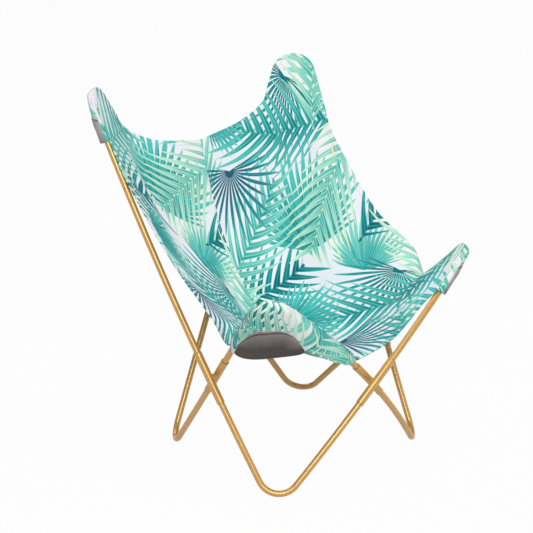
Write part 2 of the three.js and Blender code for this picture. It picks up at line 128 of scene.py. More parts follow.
class Graph:
    """Short calls for adding nodes to a material or group and linking them."""

    def __init__(self, tree: NodeTree) -> None:
        """Keeps the tree that nodes are added to."""
        self.tree = tree

    def node(self, kind: str, **settings: object) -> bpy.types.Node:
        """A new node with its properties set.

        Args:
            kind: Blender's node type.
            settings: property names and values.

        Returns:
            The node.
        """
        made = self.tree.nodes.new(kind)
        for name, value in settings.items():
            setattr(made, name, value)
        return made

    def feed(self, target: Socket, value: object) -> None:
        """Links a socket to an input, or sets the input's own value.

        Args:
            target: the input.
            value: a socket, number or colour.
        """
        if isinstance(value, bpy.types.NodeSocket):
            self.tree.links.new(value, target)
        else:
            target.default_value = value

    def math(self, operation: str, *values: object) -> Socket:
        """A Math node's result.

        Args:
            operation: Blender's name of the operation.
            values: sockets or numbers, in order.

        Returns:
            The output socket.
        """
        made = self.node("ShaderNodeMath", operation=operation)
        for target, value in zip(made.inputs, values):
            self.feed(target, value)
        return made.outputs[0]

    def plus(self, first: object, second: object) -> Socket:
        """The sum of two values."""
        return self.math("ADD", first, second)

    def minus(self, first: object, second: object) -> Socket:
        """The first value less the second."""
        return self.math("SUBTRACT", first, second)

    def times(self, first: object, second: object) -> Socket:
        """The product of two values."""
        return self.math("MULTIPLY", first, second)

    def over(self, first: object, second: object) -> Socket:
        """The first value divided by the second."""
        return self.math("DIVIDE", first, second)

    def above(self, first: object, second: object) -> Socket:
        """One where the first value is the greater, else zero."""
        return self.math("GREATER_THAN", first, second)

    def below(self, first: object, second: object) -> Socket:
        """One where the first value is the smaller, else zero."""
        return self.math("LESS_THAN", first, second)

    def most(self, first: object, second: object) -> Socket:
        """The greater of two values."""
        return self.math("MAXIMUM", first, second)

    def size(self, value: object) -> Socket:
        """A value without its sign."""
        return self.math("ABSOLUTE", value)

    def clamp(self, value: object) -> Socket:
        """A value held between zero and one."""
        return self.math("MINIMUM", self.most(value, 0.0), 1.0)

    def axes(self, vector: Socket) -> list[Socket]:
        """The three parts of a vector.

        Args:
            vector: the vector's socket.

        Returns:
            Its X, Y and Z sockets.
        """
        parts = self.node("ShaderNodeSeparateXYZ")
        self.feed(parts.inputs[0], vector)
        return list(parts.outputs)

    def noise(self, vector: Socket, scale: object, detail: float = 2.0) -> Socket:
        """Soft noise, about 0 to 1.

        Args:
            vector: where it is read.
            scale: spots in a length of one.
            detail: how many finer layers it has.

        Returns:
            The value socket.
        """
        made = self.node("ShaderNodeTexNoise")
        made.inputs["Detail"].default_value = detail
        self.feed(made.inputs["Vector"], vector)
        self.feed(made.inputs["Scale"], scale)
        return made.outputs["Fac"]

    def mix(self, factor: object, first: object, second: object, blend: str = "MIX") -> Socket:
        """A colour mixed from two.

        Args:
            factor: how much of the second.
            first: colour or socket.
            second: colour or socket.
            blend: blend mode.

        Returns:
            The colour socket.
        """
        made = self.node("ShaderNodeMix", data_type="RGBA", blend_type=blend)
        self.feed(made.inputs["Factor"], factor)
        self.feed(made.inputs[6], first)
        self.feed(made.inputs[7], second)
        return made.outputs[2]

    def group(self, tree: NodeTree, **values: object) -> bpy.types.Node:
        """A group node with its inputs fed by name.

        Args:
            tree: the shared node group.
            values: input names and their values.

        Returns:
            The group node.
        """
        made = self.node("ShaderNodeGroup", node_tree=tree)
        for name, value in values.items():
            self.feed(made.inputs[name], value)
        return made

    def bump(self, height: Socket, strength: float, distance: float) -> Socket:
        """The normal that a height gives.

        Args:
            height: the height socket.
            strength: the bump node's strength.
            distance: real height in metres of a height of one.

        Returns:
            The normal socket.
        """
        made = self.node("ShaderNodeBump")
        made.inputs["Strength"].default_value = strength
        made.inputs["Distance"].default_value = distance
        self.feed(made.inputs["Height"], height)
        return made.outputs["Normal"]


def new_group(name: str, inputs: dict[str, str],
              outputs: dict[str, str]) -> tuple[Graph, dict, dict]:
    """An empty shader node group with named sockets.

    Args:
        name: the group's name.
        inputs: socket names and kinds (Float, Vector or Color).
        outputs: the same for its outputs.

    Returns:
        The graph, the group's input sockets and its output sockets, by name.
    """
    tree = bpy.data.node_groups.new(name, "ShaderNodeTree")
    for way, sockets in (("INPUT", inputs), ("OUTPUT", outputs)):
        for socket, kind in sockets.items():
            tree.interface.new_socket(socket, in_out=way, socket_type=f"NodeSocket{kind}")
    graph = Graph(tree)
    entry = graph.node("NodeGroupInput").outputs
    result = graph.node("NodeGroupOutput").inputs
    return graph, {n: entry[n] for n in inputs}, {n: result[n] for n in outputs}


# Print


@dataclass(frozen=True)
class Brush:
    """How each finger of a leaf is painted.

    Streaks run along it, its tone changes by chance, half of it is paler like a pleat, and a fine
    line runs down its middle.
    """

    streaks: float = 6.0
    stretch: float = 2.2
    streak_share: float = 1.8
    chance_share: float = 0.55
    pleat: float = 0.16
    line_width: float = 0.07
    line_share: float = 0.6


@dataclass(frozen=True)
class FanCut:
    """A fan's half spread, fingers in a full turn, joined part and finger width past the joint.

    Tips reach the shortest part of the leaf's size and a chance more, and fall back to the sides.
    """

    spread: float
    fingers: float
    joined: float
    width: float
    shortest: float = 0.8
    uneven: float = 0.2
    fall: float = 0.4
    taper: float = 0.7
    rim: float = 0.13


@dataclass(frozen=True)
class FeatherCut:
    """A feather's pairs of leaflets, their slant and curl, and how their lengths swell and vary."""

    pairs: float = 14.0
    stagger: float = 7.5
    width: float = 0.26
    slant: float = 0.9
    curl: float = 1.0
    streak_pace: float = 4.0
    swell: float = 0.7
    swell_pace: float = 2.5
    swell_start: float = 0.45
    shortest: float = 0.7
    uneven: float = 0.4
    taper: float = 0.6
    leaflet: float = 0.84
    first: float = 0.04
    last: float = 0.98
    stem: float = 0.008
    rim: float = 0.1


@dataclass
class LeafMotif:
    """A leaf of the print as a node group that gives its mask, tone and line.

    The print repeats on a square tile, so every leaf is drawn from the nearest copy of its centre.
    """

    kind: LeafKind
    tile: float = 0.58
    brush: Brush = Brush()
    fan: FanCut = FanCut(1.3, 52.0, 0.58, 1.0)
    spike: FanCut = FanCut(1.9, 34.0, 0.16, 0.8)
    feather: FeatherCut = FeatherCut()

    def build(self) -> NodeTree:
        """The node group of this leaf.

        Returns:
            A group with inputs Place, X, Y, Angle, Size, Bow and outputs Mask, Tone, Line.
        """
        inputs = {"Place": "Vector"} | dict.fromkeys(("X", "Y", "Angle", "Size", "Bow"), "Float")
        outputs = dict.fromkeys(("Mask", "Tone", "Line"), "Float")
        graph, given, out = new_group(self.kind.value, inputs, outputs)
        along, across = self._local(graph, given)
        if self.kind is LeafKind.FEATHER:
            drawn = self._feather(graph, along, across)
        else:
            cut = self.fan if self.kind is LeafKind.FAN else self.spike
            drawn = self._fan(graph, cut, along, across)
        for name, value in zip(outputs, drawn):
            graph.feed(out[name], value)
        return graph.tree

    def _local(self, graph: Graph, given: dict) -> tuple[Socket, Socket]:
        """Position in the leaf's own axes, in leaf lengths, after the leaf's bow is undone.

        Args:
            graph: the leaf's graph.
            given: its input sockets.

        Returns:
            The ways along and across the leaf.
        """
        offsets = []
        for socket, centre in zip(graph.axes(given["Place"]), (given["X"], given["Y"])):
            apart = graph.minus(socket, centre)
            turns = graph.math("ROUND", graph.over(apart, self.tile))
            offsets.append(graph.minus(apart, graph.times(turns, self.tile)))
        x, y = offsets
        cos, sin = (graph.math(name, given["Angle"]) for name in ("COSINE", "SINE"))
        along = graph.over(graph.plus(graph.times(x, cos), graph.times(y, sin)), given["Size"])
        across = graph.over(graph.minus(graph.times(y, cos), graph.times(x, sin)), given["Size"])
        bow = graph.times(graph.times(along, along), given["Bow"])
        return along, graph.plus(across, bow)

    def _finger(self, graph: Graph, count: Socket, reach: Socket) -> tuple[Socket, Socket, Socket]:
        """A finger's painting.

        Args:
            graph: the leaf's graph.
            count: the finger's number, with the way across it as the fraction.
            reach: the way along it.

        Returns:
            The distance from its middle line (0 to 1), its chance and its brush tone.
        """
        brush = self.brush
        spot = graph.minus(graph.math("FRACT", count), 0.5)
        away = graph.times(graph.size(spot), 2.0)
        number = graph.node("ShaderNodeTexWhiteNoise", noise_dimensions="1D")
        graph.feed(number.inputs["W"], graph.math("FLOOR", count))
        chance = number.outputs["Value"]
        stroke = graph.node("ShaderNodeCombineXYZ")
        graph.feed(stroke.inputs[0], graph.times(count, brush.streaks))
        graph.feed(stroke.inputs[1], graph.times(reach, brush.stretch))
        streak = graph.minus(graph.noise(stroke.outputs[0], 1.0), 0.5)
        paint = graph.plus(graph.times(streak, brush.streak_share),
                           graph.times(graph.minus(chance, 0.5), brush.chance_share))
        pleat = graph.times(graph.above(spot, 0.0), brush.pleat)
        return away, chance, graph.plus(paint, pleat)

    def _outline(self, graph: Graph, wide: Socket, away: Socket, rim: float) -> Socket:
        """A thin line down a finger's middle and one along its edge.

        Args:
            graph: the leaf's graph.
            wide: the finger's half width.
            away: the distance from its middle line.
            rim: width of the edge line.

        Returns:
            The lines' mask.
        """
        edge = graph.below(graph.minus(wide, away), rim)
        middle = graph.times(graph.below(away, self.brush.line_width), self.brush.line_share)
        return graph.most(edge, middle)

    def _fan(self, graph: Graph, cut: FanCut, along: Socket, across: Socket) -> tuple[Socket, ...]:
        """A fan: fingers by angle round the stalk, joined near it, tapering to uneven tips.

        Args:
            graph: the leaf's graph.
            cut: the fan's sizes.
            along: the way along the leaf.
            across: the way across it.

        Returns:
            Mask, tone and line.
        """
        square = graph.plus(graph.times(along, along), graph.times(across, across))
        reach = graph.math("SQRT", square)
        angle = graph.math("ARCTAN2", across, along)
        count = graph.times(angle, cut.fingers / math.tau)
        away, chance, paint = self._finger(graph, count, reach)
        lean = graph.over(angle, cut.spread)
        tip = graph.plus(cut.shortest, graph.times(chance, cut.uneven))
        tip = graph.minus(tip, graph.times(graph.times(lean, lean), cut.fall))
        left = graph.over(graph.minus(tip, reach), graph.times(tip, 1 - cut.joined))
        taper = graph.math("POWER", graph.most(left, 0.0), cut.taper)
        wide = graph.plus(graph.times(taper, cut.width), graph.below(reach, cut.joined / 2))
        mask = graph.times(graph.above(wide, away), graph.below(graph.size(lean), 1.0))
        return mask, graph.plus(reach, paint), self._outline(graph, wide, away, cut.rim)

    def _feather(self, graph: Graph, along: Socket, across: Socket) -> tuple[Socket, ...]:
        """A feather: slanted leaflets on both sides of a stem, longest at its middle.

        Args:
            graph: the leaf's graph.
            along: the way along the leaf.
            across: the way across it.

        Returns:
            Mask, tone and line.
        """
        cut = self.feather
        off = graph.size(across)
        lean = graph.plus(graph.times(off, cut.curl), cut.slant)
        base = graph.minus(graph.plus(along, 0.5), graph.times(off, lean))
        stagger = graph.times(graph.above(across, 0.0), cut.stagger)
        count = graph.plus(graph.times(base, cut.pairs), stagger)
        away, chance, paint = self._finger(graph, count, graph.times(off, cut.streak_pace))
        swell = graph.math("SINE", graph.plus(graph.times(base, cut.swell_pace), cut.swell_start))
        longest = graph.times(graph.plus(graph.times(swell, cut.swell), 1 - cut.swell),
                              graph.plus(graph.times(chance, cut.uneven), cut.shortest))
        out = graph.over(off, graph.times(longest, cut.width))
        taper = graph.math("POWER", graph.most(graph.minus(1.0, out), 0.0), cut.taper)
        wide = graph.times(taper, cut.leaflet)
        inside = graph.times(graph.above(base, cut.first), graph.below(base, cut.last))
        stem = graph.times(graph.below(off, cut.stem), graph.below(graph.size(along), 0.5))
        mask = graph.times(graph.above(wide, away), inside)
        return (graph.most(mask, stem), graph.plus(out, paint),
                self._outline(graph, wide, away, cut.rim))


@dataclass(frozen=True)
class LeafTint:
    """The colours of one printed leaf, from its root to its tip, and of its fine lines."""

    root: str
    tip: str
    line: str


TEAL = LeafTint("008486", "44c1ba", "a2e2d6")
MINT = LeafTint("36b6b0", "b8ead8", "f5edb2")
SEA = LeafTint("149e9c", "7ad5ca", "daf2d2")
DEEP = LeafTint("00666f", "1a9d9d", "60c7be")
NAVY = LeafTint("244c6e", "188892", "5cb4b6")
GROUND = "eceaf1"
LINE_STRENGTH = 0.7


@dataclass(frozen=True)
class Leaf:
    """One leaf placed on the print's tile: centre, heading in degrees, size and bow."""

    kind: LeafKind
    x: float
    y: float
    heading: float
    size: float
    tint: LeafTint
    bow: float = 0.0


# From the lowest leaf to the one on top
LEAVES = (
    Leaf(LeafKind.FAN, 0.17, 0.49, 40, 0.17, SEA),
    Leaf(LeafKind.FAN, 0.10, 0.05, 62, 0.27, TEAL),
    Leaf(LeafKind.FEATHER, 0.43, 0.02, 8, 0.44, DEEP, 0.15),
    Leaf(LeafKind.FAN, 0.42, 0.28, 118, 0.27, SEA),
    Leaf(LeafKind.SPIKE, 0.22, 0.42, 200, 0.21, DEEP),
    Leaf(LeafKind.FEATHER, 0.12, 0.36, 145, 0.46, TEAL, 0.2),
    Leaf(LeafKind.FEATHER, 0.49, 0.13, 32, 0.44, SEA, -0.2),
    Leaf(LeafKind.FEATHER, 0.33, 0.46, 60, 0.42, MINT, 0.2),
    Leaf(LeafKind.SPIKE, 0.54, 0.35, 262, 0.20, NAVY),
    Leaf(LeafKind.FEATHER, 0.27, 0.16, 208, 0.42, MINT, -0.2),
    Leaf(LeafKind.FAN, 0.50, 0.51, 345, 0.18, TEAL),
)


def leaf_print() -> NodeTree:
    """The whole printed design: leaves laid over each other on a pale ground.

    Returns:
        A group with input Place, in metres of cloth, and output Colour.
    """
    graph, given, out = new_group("leaf print", {"Place": "Vector"}, {"Colour": "Color"})
    motifs = {kind: LeafMotif(kind).build() for kind in LeafKind}
    colour: object = linear(GROUND)
    for leaf in LEAVES:
        shape = graph.group(motifs[leaf.kind], Place=given["Place"], X=leaf.x, Y=leaf.y,
                            Angle=math.radians(leaf.heading), Size=leaf.size, Bow=leaf.bow)
        tone = graph.clamp(shape.outputs["Tone"])
        paint = graph.mix(tone, linear(leaf.tint.root), linear(leaf.tint.tip))
        line = graph.times(shape.outputs["Line"], LINE_STRENGTH)
        paint = graph.mix(line, paint, linear(leaf.tint.line))
        colour = graph.mix(shape.outputs["Mask"], colour, paint)
    graph.feed(out["Colour"], colour)
    return graph.tree


# Finishes


@dataclass(frozen=True)
class PlainWeave:
    """A plain weave with slubs: crossing threads, each rising over every other one."""

    slub_scale: float = 420.0
    slub_height: float = 0.5
    shade: float = 0.93
    slub_shade: float = 0.12

    def build(self) -> NodeTree:
        """The shared node group of the weave.

        Returns:
            A group with inputs Place and Thread (metres) and outputs Height and Shade.
        """
        graph, given, out = new_group("plain weave", {"Place": "Vector", "Thread": "Float"},
                                      {"Height": "Float", "Shade": "Float"})
        waves = []
        for socket in graph.axes(given["Place"])[:2]:
            turn = graph.times(graph.over(socket, given["Thread"]), math.pi)
            waves.append(graph.math("SINE", turn))
        height = graph.plus(graph.times(graph.times(*waves), 0.5), 0.5)
        slub = graph.noise(given["Place"], self.slub_scale)
        graph.feed(out["Height"], graph.plus(height, graph.times(slub, self.slub_height)))
        graph.feed(out["Shade"], graph.plus(self.shade, graph.times(slub, self.slub_shade)))
        return graph.tree


@dataclass(frozen=True)
class FineGrain:
    """Fine grain at a chosen scale, and broad patches of it, for paint and coated cloth."""

    detail: float = 4.0
    broad: float = 0.02

    def build(self) -> NodeTree:
        """The shared node group of the grain.

        Returns:
            A group with input Scale and outputs Fine and Broad, both about 0 to 1.
        """
        outputs = {"Fine": 1.0, "Broad": self.broad}
        graph, given, out = new_group("grain", {"Scale": "Float"},
                                      dict.fromkeys(outputs, "Float"))
        spot = graph.node("ShaderNodeTexCoord").outputs["Object"]
        for name, ratio in outputs.items():
            scale = graph.times(given["Scale"], ratio)
            graph.feed(out[name], graph.noise(spot, scale, self.detail))
        return graph.tree


def new_material(name: str, **values: float) -> tuple[Material, Graph, bpy.types.Node]:
    """A material with one Principled shader.

    Args:
        name: the finish.
        values: the shader's plain inputs, with _ for a space in a name.

    Returns:
        The material, its graph and its shader node.
    """
    material = bpy.data.materials.new(name)
    material.use_nodes = True
    shader = material.node_tree.nodes["Principled BSDF"]
    for socket, value in values.items():
        shader.inputs[socket.replace("_", " ")].default_value = value
    return material, Graph(material.node_tree), shader


@dataclass(frozen=True)
class GoldPaint:
    """Satin metallic gold paint on tube, with broad patches of a deeper shade."""

    colour: str = "d3a558"
    shade: str = "c08f44"
    shade_share: float = 0.6
    metallic: float = 0.3
    roughness: float = 0.29
    rough_spread: float = 0.06
    gloss: float = 0.85
    flake_scale: float = 900.0

    def build(self, grain: NodeTree) -> Material:
        """The paint's material.

        Args:
            grain: the shared grain group.

        Returns:
            The material.
        """
        material, graph, shader = new_material("gold paint", Metallic=self.metallic,
                                               Specular_IOR_Level=self.gloss)
        flake = graph.group(grain, Scale=self.flake_scale)
        broad = graph.times(flake.outputs["Broad"], self.shade_share)
        graph.feed(shader.inputs["Base Color"],
                   graph.mix(broad, linear(self.colour), linear(self.shade)))
        fine = graph.times(flake.outputs["Fine"], self.rough_spread)
        graph.feed(shader.inputs["Roughness"], graph.plus(self.roughness, fine))
        return material


@dataclass(frozen=True)
class PrintedCanvas:
    """Cotton canvas of a plain weave, with the leaf print."""

    thread: float = 0.0009
    roughness: float = 0.86
    sheen: float = 0.04
    gloss: float = 0.15
    relief: float = 0.35
    relief_height: float = 0.0003

    def build(self, design: NodeTree, weave: NodeTree) -> Material:
        """The cloth's material, laid out on the piece's own UV map in metres.

        Args:
            design: the print group.
            weave: the shared weave group.

        Returns:
            The material.
        """
        material, graph, shader = new_material("printed canvas", Roughness=self.roughness,
                                               Sheen_Weight=self.sheen,
                                               Specular_IOR_Level=self.gloss)
        place = graph.node("ShaderNodeTexCoord").outputs["UV"]
        picture = graph.group(design, Place=place).outputs["Colour"]
        cloth = graph.group(weave, Place=place, Thread=self.thread).outputs
        graph.feed(shader.inputs["Base Color"],
                   graph.mix(1.0, picture, cloth["Shade"], "MULTIPLY"))
        graph.feed(shader.inputs["Normal"],
                   graph.bump(cloth["Height"], self.relief, self.relief_height))
        return material


@dataclass(frozen=True)
class CoatedCloth:
    """Grey-brown coated cloth of the corner flaps, and in other colours their trim.

    It has a soft gloss and random paler patches. Painted light makes it paler at the seam and
    the end arm, painted shade darker down to the mouth and over to the side arm, and a painted
    shadow line lies beside the binding.
    """

    name: str = "grey coated cloth"
    colour: str = "423c39"
    # Pale colour of the painted light
    painted_light_colour: str = "a8a2a1"
    roughness: float = 0.36
    coat: float = 0.12
    coat_roughness: float = 0.25
    gloss: float = 0.25
    rough_spread: float = 0.14
    # Painted light at the seam, and painted shade over to the side arm
    painted_light: float = 0.65
    painted_side_shade: float = 0.95
    # Painted shadow line below the seam, beside the binding: colour, row, width and strength
    painted_seam_shadow: str = "241c1a"
    seam_shadow_at: float = 0.075
    seam_shadow_width: float = 0.045
    seam_shadow_depth: float = 0.85
    pebble_scale: float = 650.0
    relief: float = 0.12
    relief_height: float = 0.0002

    def build(self, grain: NodeTree) -> Material:
        """The coated cloth's material, on a UV map of the ways along and down the flap.

        Args:
            grain: the shared grain group.

        Returns:
            The material.
        """
        material, graph, shader = new_material(self.name, Specular_IOR_Level=self.gloss,
                                               Coat_Weight=self.coat,
                                               Coat_Roughness=self.coat_roughness)
        pebble = graph.group(grain, Scale=self.pebble_scale).outputs
        along, down, _ = graph.axes(graph.node("ShaderNodeTexCoord").outputs["UV"])
        # Painted light and shade, with random patches: paler at the seam and the end arm, darker
        # down to the mouth and over to the side arm
        painted_light = graph.minus(graph.plus(self.painted_light, pebble["Broad"]), down)
        painted_light = graph.clamp(graph.minus(painted_light, graph.times(along, self.painted_side_shade)))
        tone = graph.mix(painted_light, linear(self.colour), linear(self.painted_light_colour))
        # Painted shadow line just below the seam, beside the binding
        off_line = graph.over(graph.size(graph.minus(down, self.seam_shadow_at)), self.seam_shadow_width)
        painted_seam_shadow = graph.most(graph.minus(self.seam_shadow_depth, off_line), 0.0)
        graph.feed(shader.inputs["Base Color"], graph.mix(painted_seam_shadow, tone, linear(self.painted_seam_shadow)))
        fine = graph.times(pebble["Fine"], self.rough_spread)
        graph.feed(shader.inputs["Roughness"], graph.plus(self.roughness, fine))
        graph.feed(shader.inputs["Normal"],
                   graph.bump(pebble["Fine"], self.relief, self.relief_height))
        return material


# Meshes


def grid_faces(rows: int, columns: int, round_rows: bool = False,
               round_columns: bool = False) -> Array:
    """Quads of a grid of points numbered row by row.

    Args:
        rows: number of rows.
        columns: points in a row.
        round_rows: joins the last row to the first.
        round_columns: joins the last column to the first.

    Returns:
        An array of four point numbers per face.
    """
    i = np.arange(rows if round_rows else rows - 1)[:, None]
    j = np.arange(columns if round_columns else columns - 1)[None, :]
    near, far = i * columns, (i + 1) % rows * columns
    this, other = j, (j + 1) % columns
    return np.stack([near + this, near + other, far + other, far + this], axis=-1).reshape(-1, 4)


def skin_faces(rings: int, sides: int) -> list:
    """Faces of a round skin of rings of points, closed by a face at each end.

    Args:
        rings: number of rings.
        sides: points on a ring.

    Returns:
        Lists of point numbers.
    """
    last = (rings - 1) * sides
    ends = [list(range(sides))[::-1], list(range(last, last + sides))]
    return grid_faces(rings, sides, round_columns=True).tolist() + ends


def new_piece(name: str, points: Array, faces: list, material: Material,
              places: Array | None = None) -> Piece:
    """A smooth-shaded mesh object at the origin.

    Args:
        name: the piece's name.
        points: its points, one row each.
        faces: lists of point numbers.
        material: its finish.
        places: a UV position for each point.

    Returns:
        The object, linked to the scene.
    """
    mesh = bpy.data.meshes.new(name)
    mesh.from_pydata(points.tolist(), [], faces)
    mesh.polygons.foreach_set("use_smooth", np.ones(len(mesh.polygons), dtype=bool))
    if places is not None:
        corners = np.empty(len(mesh.loops), dtype=np.int32)
        mesh.loops.foreach_get("vertex_index", corners)
        layer = mesh.uv_layers.new(name="cloth")
        layer.data.foreach_set("uv", places[corners].astype(np.float32).ravel())
    mesh.materials.append(material)
    mesh.update()
    piece = bpy.data.objects.new(name, mesh)
    bpy.context.scene.collection.objects.link(piece)
    log.info("%s: %d points", name, len(points))
    return piece


def thicken(piece: Piece, thickness: float, edge: float = 0.3, corner: float = 60.0) -> None:
    """Gives a sheet its thickness, half to each side, with a rounded edge.

    Args:
        piece: the sheet.
        thickness: of the cloth.
        edge: radius of the edge, in thicknesses.
        corner: least angle in degrees that counts as an edge.
    """
    solidify = piece.modifiers.new("thickness", "SOLIDIFY")
    solidify.thickness = thickness
    solidify.offset = 0.0
    solidify.use_even_offset = False
    bevel = piece.modifiers.new("edge", "BEVEL")
    bevel.width = thickness * edge
    bevel.segments = 2
    bevel.limit_method = "ANGLE"
    bevel.angle_limit = math.radians(corner)


def side_directions(path: Array) -> tuple[Array, Array]:
    """Two directions square to a path, turned as little as possible from point to point.

    Args:
        path: points, one row each.

    Returns:
        The two directions at each point.
    """
    tangent = np.gradient(path, axis=0)
    tangent /= np.linalg.norm(tangent, axis=1, keepdims=True)
    guide = np.eye(3)[np.argmin(np.abs(tangent).max(axis=0))]
    first = np.empty_like(path)
    for i, ahead in enumerate(tangent):
        guide = unit(guide - ahead * guide.dot(ahead))
        first[i] = guide
    return first, np.cross(tangent, first)


def sweep(path: Array, radii: Array, sides: int) -> tuple[Array, list]:
    """A round skin along a path: circles of the given radii, closed by a face at each end.

    Args:
        path: centre of each circle.
        radii: radius of each circle.
        sides: points on a circle.

    Returns:
        Points and faces.
    """
    first, second = side_directions(path)
    turn = np.arange(sides) * math.tau / sides
    ring = np.cos(turn)[:, None] * first[:, None] + np.sin(turn)[:, None] * second[:, None]
    points = path[:, None] + np.asarray(radii)[:, None, None] * ring
    return points.reshape(-1, 3), skin_faces(len(path), sides)


def spline(points: Array, per_span: int = 60) -> Array:
    """A smooth centripetal curve through points, resampled densely.

    Each span is a cubic whose end slopes come from the square roots of the distances to the
    neighbouring points.

    Args:
        points: the points to pass through.
        per_span: samples between two of them.

    Returns:
        Points on the curve.
    """
    ends = np.vstack([2 * points[0] - points[1], points, 2 * points[-1] - points[-2]])
    before, here, there, after = ends[:-3], ends[1:-2], ends[2:-1], ends[3:]
    first, span, last = (np.linalg.norm(b - a, axis=1, keepdims=True) ** 0.5
                         for a, b in ((before, here), (here, there), (there, after)))
    leave = (here - before) / first - (there - before) / (first + span) + (there - here) / span
    reach = (there - here) / span - (after - here) / (span + last) + (after - there) / last
    out, into = (leave * span)[:, None], (reach * span)[:, None]
    start, stop = here[:, None], there[:, None]
    t = np.linspace(0, 1, per_span, endpoint=False)[None, :, None]
    curve = (start + out * t + (-3 * start + 3 * stop - 2 * out - into) * t ** 2
             + (2 * start - 2 * stop + out + into) * t ** 3)
    return np.vstack([curve.reshape(-1, 3), points[-1:]])


def run_lengths(points: Array, axis: int) -> Array:
    """Distances from the first point, added up along one direction of a path or grid.

    Args:
        points: a path or grid of points.
        axis: the direction.

    Returns:
        A distance for each point.
    """
    steps = np.linalg.norm(np.diff(points, axis=axis), axis=-1)
    start = np.zeros_like(np.take(steps, [0], axis=axis))
    return np.concatenate([start, np.cumsum(steps, axis=axis)], axis=axis)


def points_along(curve: Array, parts: Array) -> Array:
    """Points at given parts of a curve's length.

    Args:
        curve: dense points on it.
        parts: 0 to 1 along its length.

    Returns:
        One point for each part.
    """
    run = run_lengths(curve, 0)
    return np.stack([np.interp(parts * run[-1], run, curve[:, k]) for k in range(3)], axis=1)


def surface_normals(grid: Array) -> Array:
    """Unit normals of a grid of points, from the cross product of its two directions.

    Args:
        grid: points in rows.

    Returns:
        A normal for each point.
    """
    normal = np.cross(np.gradient(grid, axis=0), np.gradient(grid, axis=1))
    size = np.linalg.norm(normal, axis=2, keepdims=True)
    return normal / np.maximum(size, NO_AREA)


@dataclass(frozen=True)
class Stitch:
    """One sewn stitch: a short rounded bead of thread, as rings of a share of its radius."""

    pitch: float = 0.0042
    length: float = 0.003
    radius: float = 0.0004
    ring_places: tuple = (-0.5, -0.32, 0.0, 0.32, 0.5)
    ring_sizes: tuple = (0.25, 0.9, 1.0, 0.9, 0.25)
    sides: int = 6
    glance: float = 0.002

    def row(self, path: Array, normals: Array) -> tuple[Array, list]:
        """A row of stitches that lie along a path.

        Args:
            path: dense points on the cloth's surface.
            normals: surface normal at each point.

        Returns:
            Points and faces.
        """
        count = max(int(run_lengths(path, 0)[-1] / self.pitch), 1)
        parts = (np.arange(count) + 0.5) / count
        centre = points_along(path, parts)
        ahead = (points_along(path, np.minimum(parts + self.glance, 1.0))
                 - points_along(path, np.maximum(parts - self.glance, 0.0)))
        ahead /= np.linalg.norm(ahead, axis=1, keepdims=True)
        up = points_along(normals, parts)
        up -= ahead * (up * ahead).sum(axis=1, keepdims=True)
        up /= np.linalg.norm(up, axis=1, keepdims=True)
        over = np.cross(ahead, up)
        turn = (np.arange(self.sides) * math.tau / self.sides)[None, :, None]
        ring = np.cos(turn) * up[:, None] + np.sin(turn) * over[:, None]
        places = (np.array(self.ring_places) * self.length)[None, :, None, None]
        sizes = (np.array(self.ring_sizes) * self.radius)[None, :, None, None]
        points = centre[:, None, None] + ahead[:, None, None] * places + ring[:, None] * sizes
        block = len(self.ring_places) * self.sides
        bead = skin_faces(len(self.ring_places), self.sides)
        faces = [[k + i * block for k in face] for i in range(count) for face in bead]
        return points.reshape(-1, 3), faces


# Frame


@dataclass(frozen=True)
class Arm:
    """One springy arm: a shallow curve from a foot corner through its crossing to a top corner."""

    foot: Array
    cross: Array
    top: Array
    samples: int = 4001

    @property
    def crossing(self) -> float:
        """The parameter at which the arm passes its crossing."""
        return np.linalg.norm(self.cross - self.foot) / self.length

    @property
    def length(self) -> float:
        """Length of the arm, corner to corner."""
        return np.linalg.norm(self.cross - self.foot) + np.linalg.norm(self.top - self.cross)

    def points(self, t: Array) -> Array:
        """Points on the arm: a quadratic whose control point makes it pass the crossing.

        Args:
            t: parameters, 0 at the foot corner and 1 at the top corner.

        Returns:
            One point for each parameter.
        """
        c = self.crossing
        pull = (self.cross - self.foot * (1 - c) ** 2 - self.top * c ** 2) / (2 * c * (1 - c))
        t = np.atleast_1d(t)[:, None]
        return self.foot * (1 - t) ** 2 + pull * 2 * t * (1 - t) + self.top * t ** 2

    def at(self, corner: Array, distance: float) -> float:
        """The parameter at a straight distance from one of the arm's corners.

        Args:
            corner: the foot or the top corner.
            distance: metres.

        Returns:
            The parameter.
        """
        start = 0.0 if np.allclose(corner, self.foot) else 1.0
        t = np.linspace(start, self.crossing, self.samples)
        return float(np.interp(distance, np.linalg.norm(self.points(t) - corner, axis=1), t))


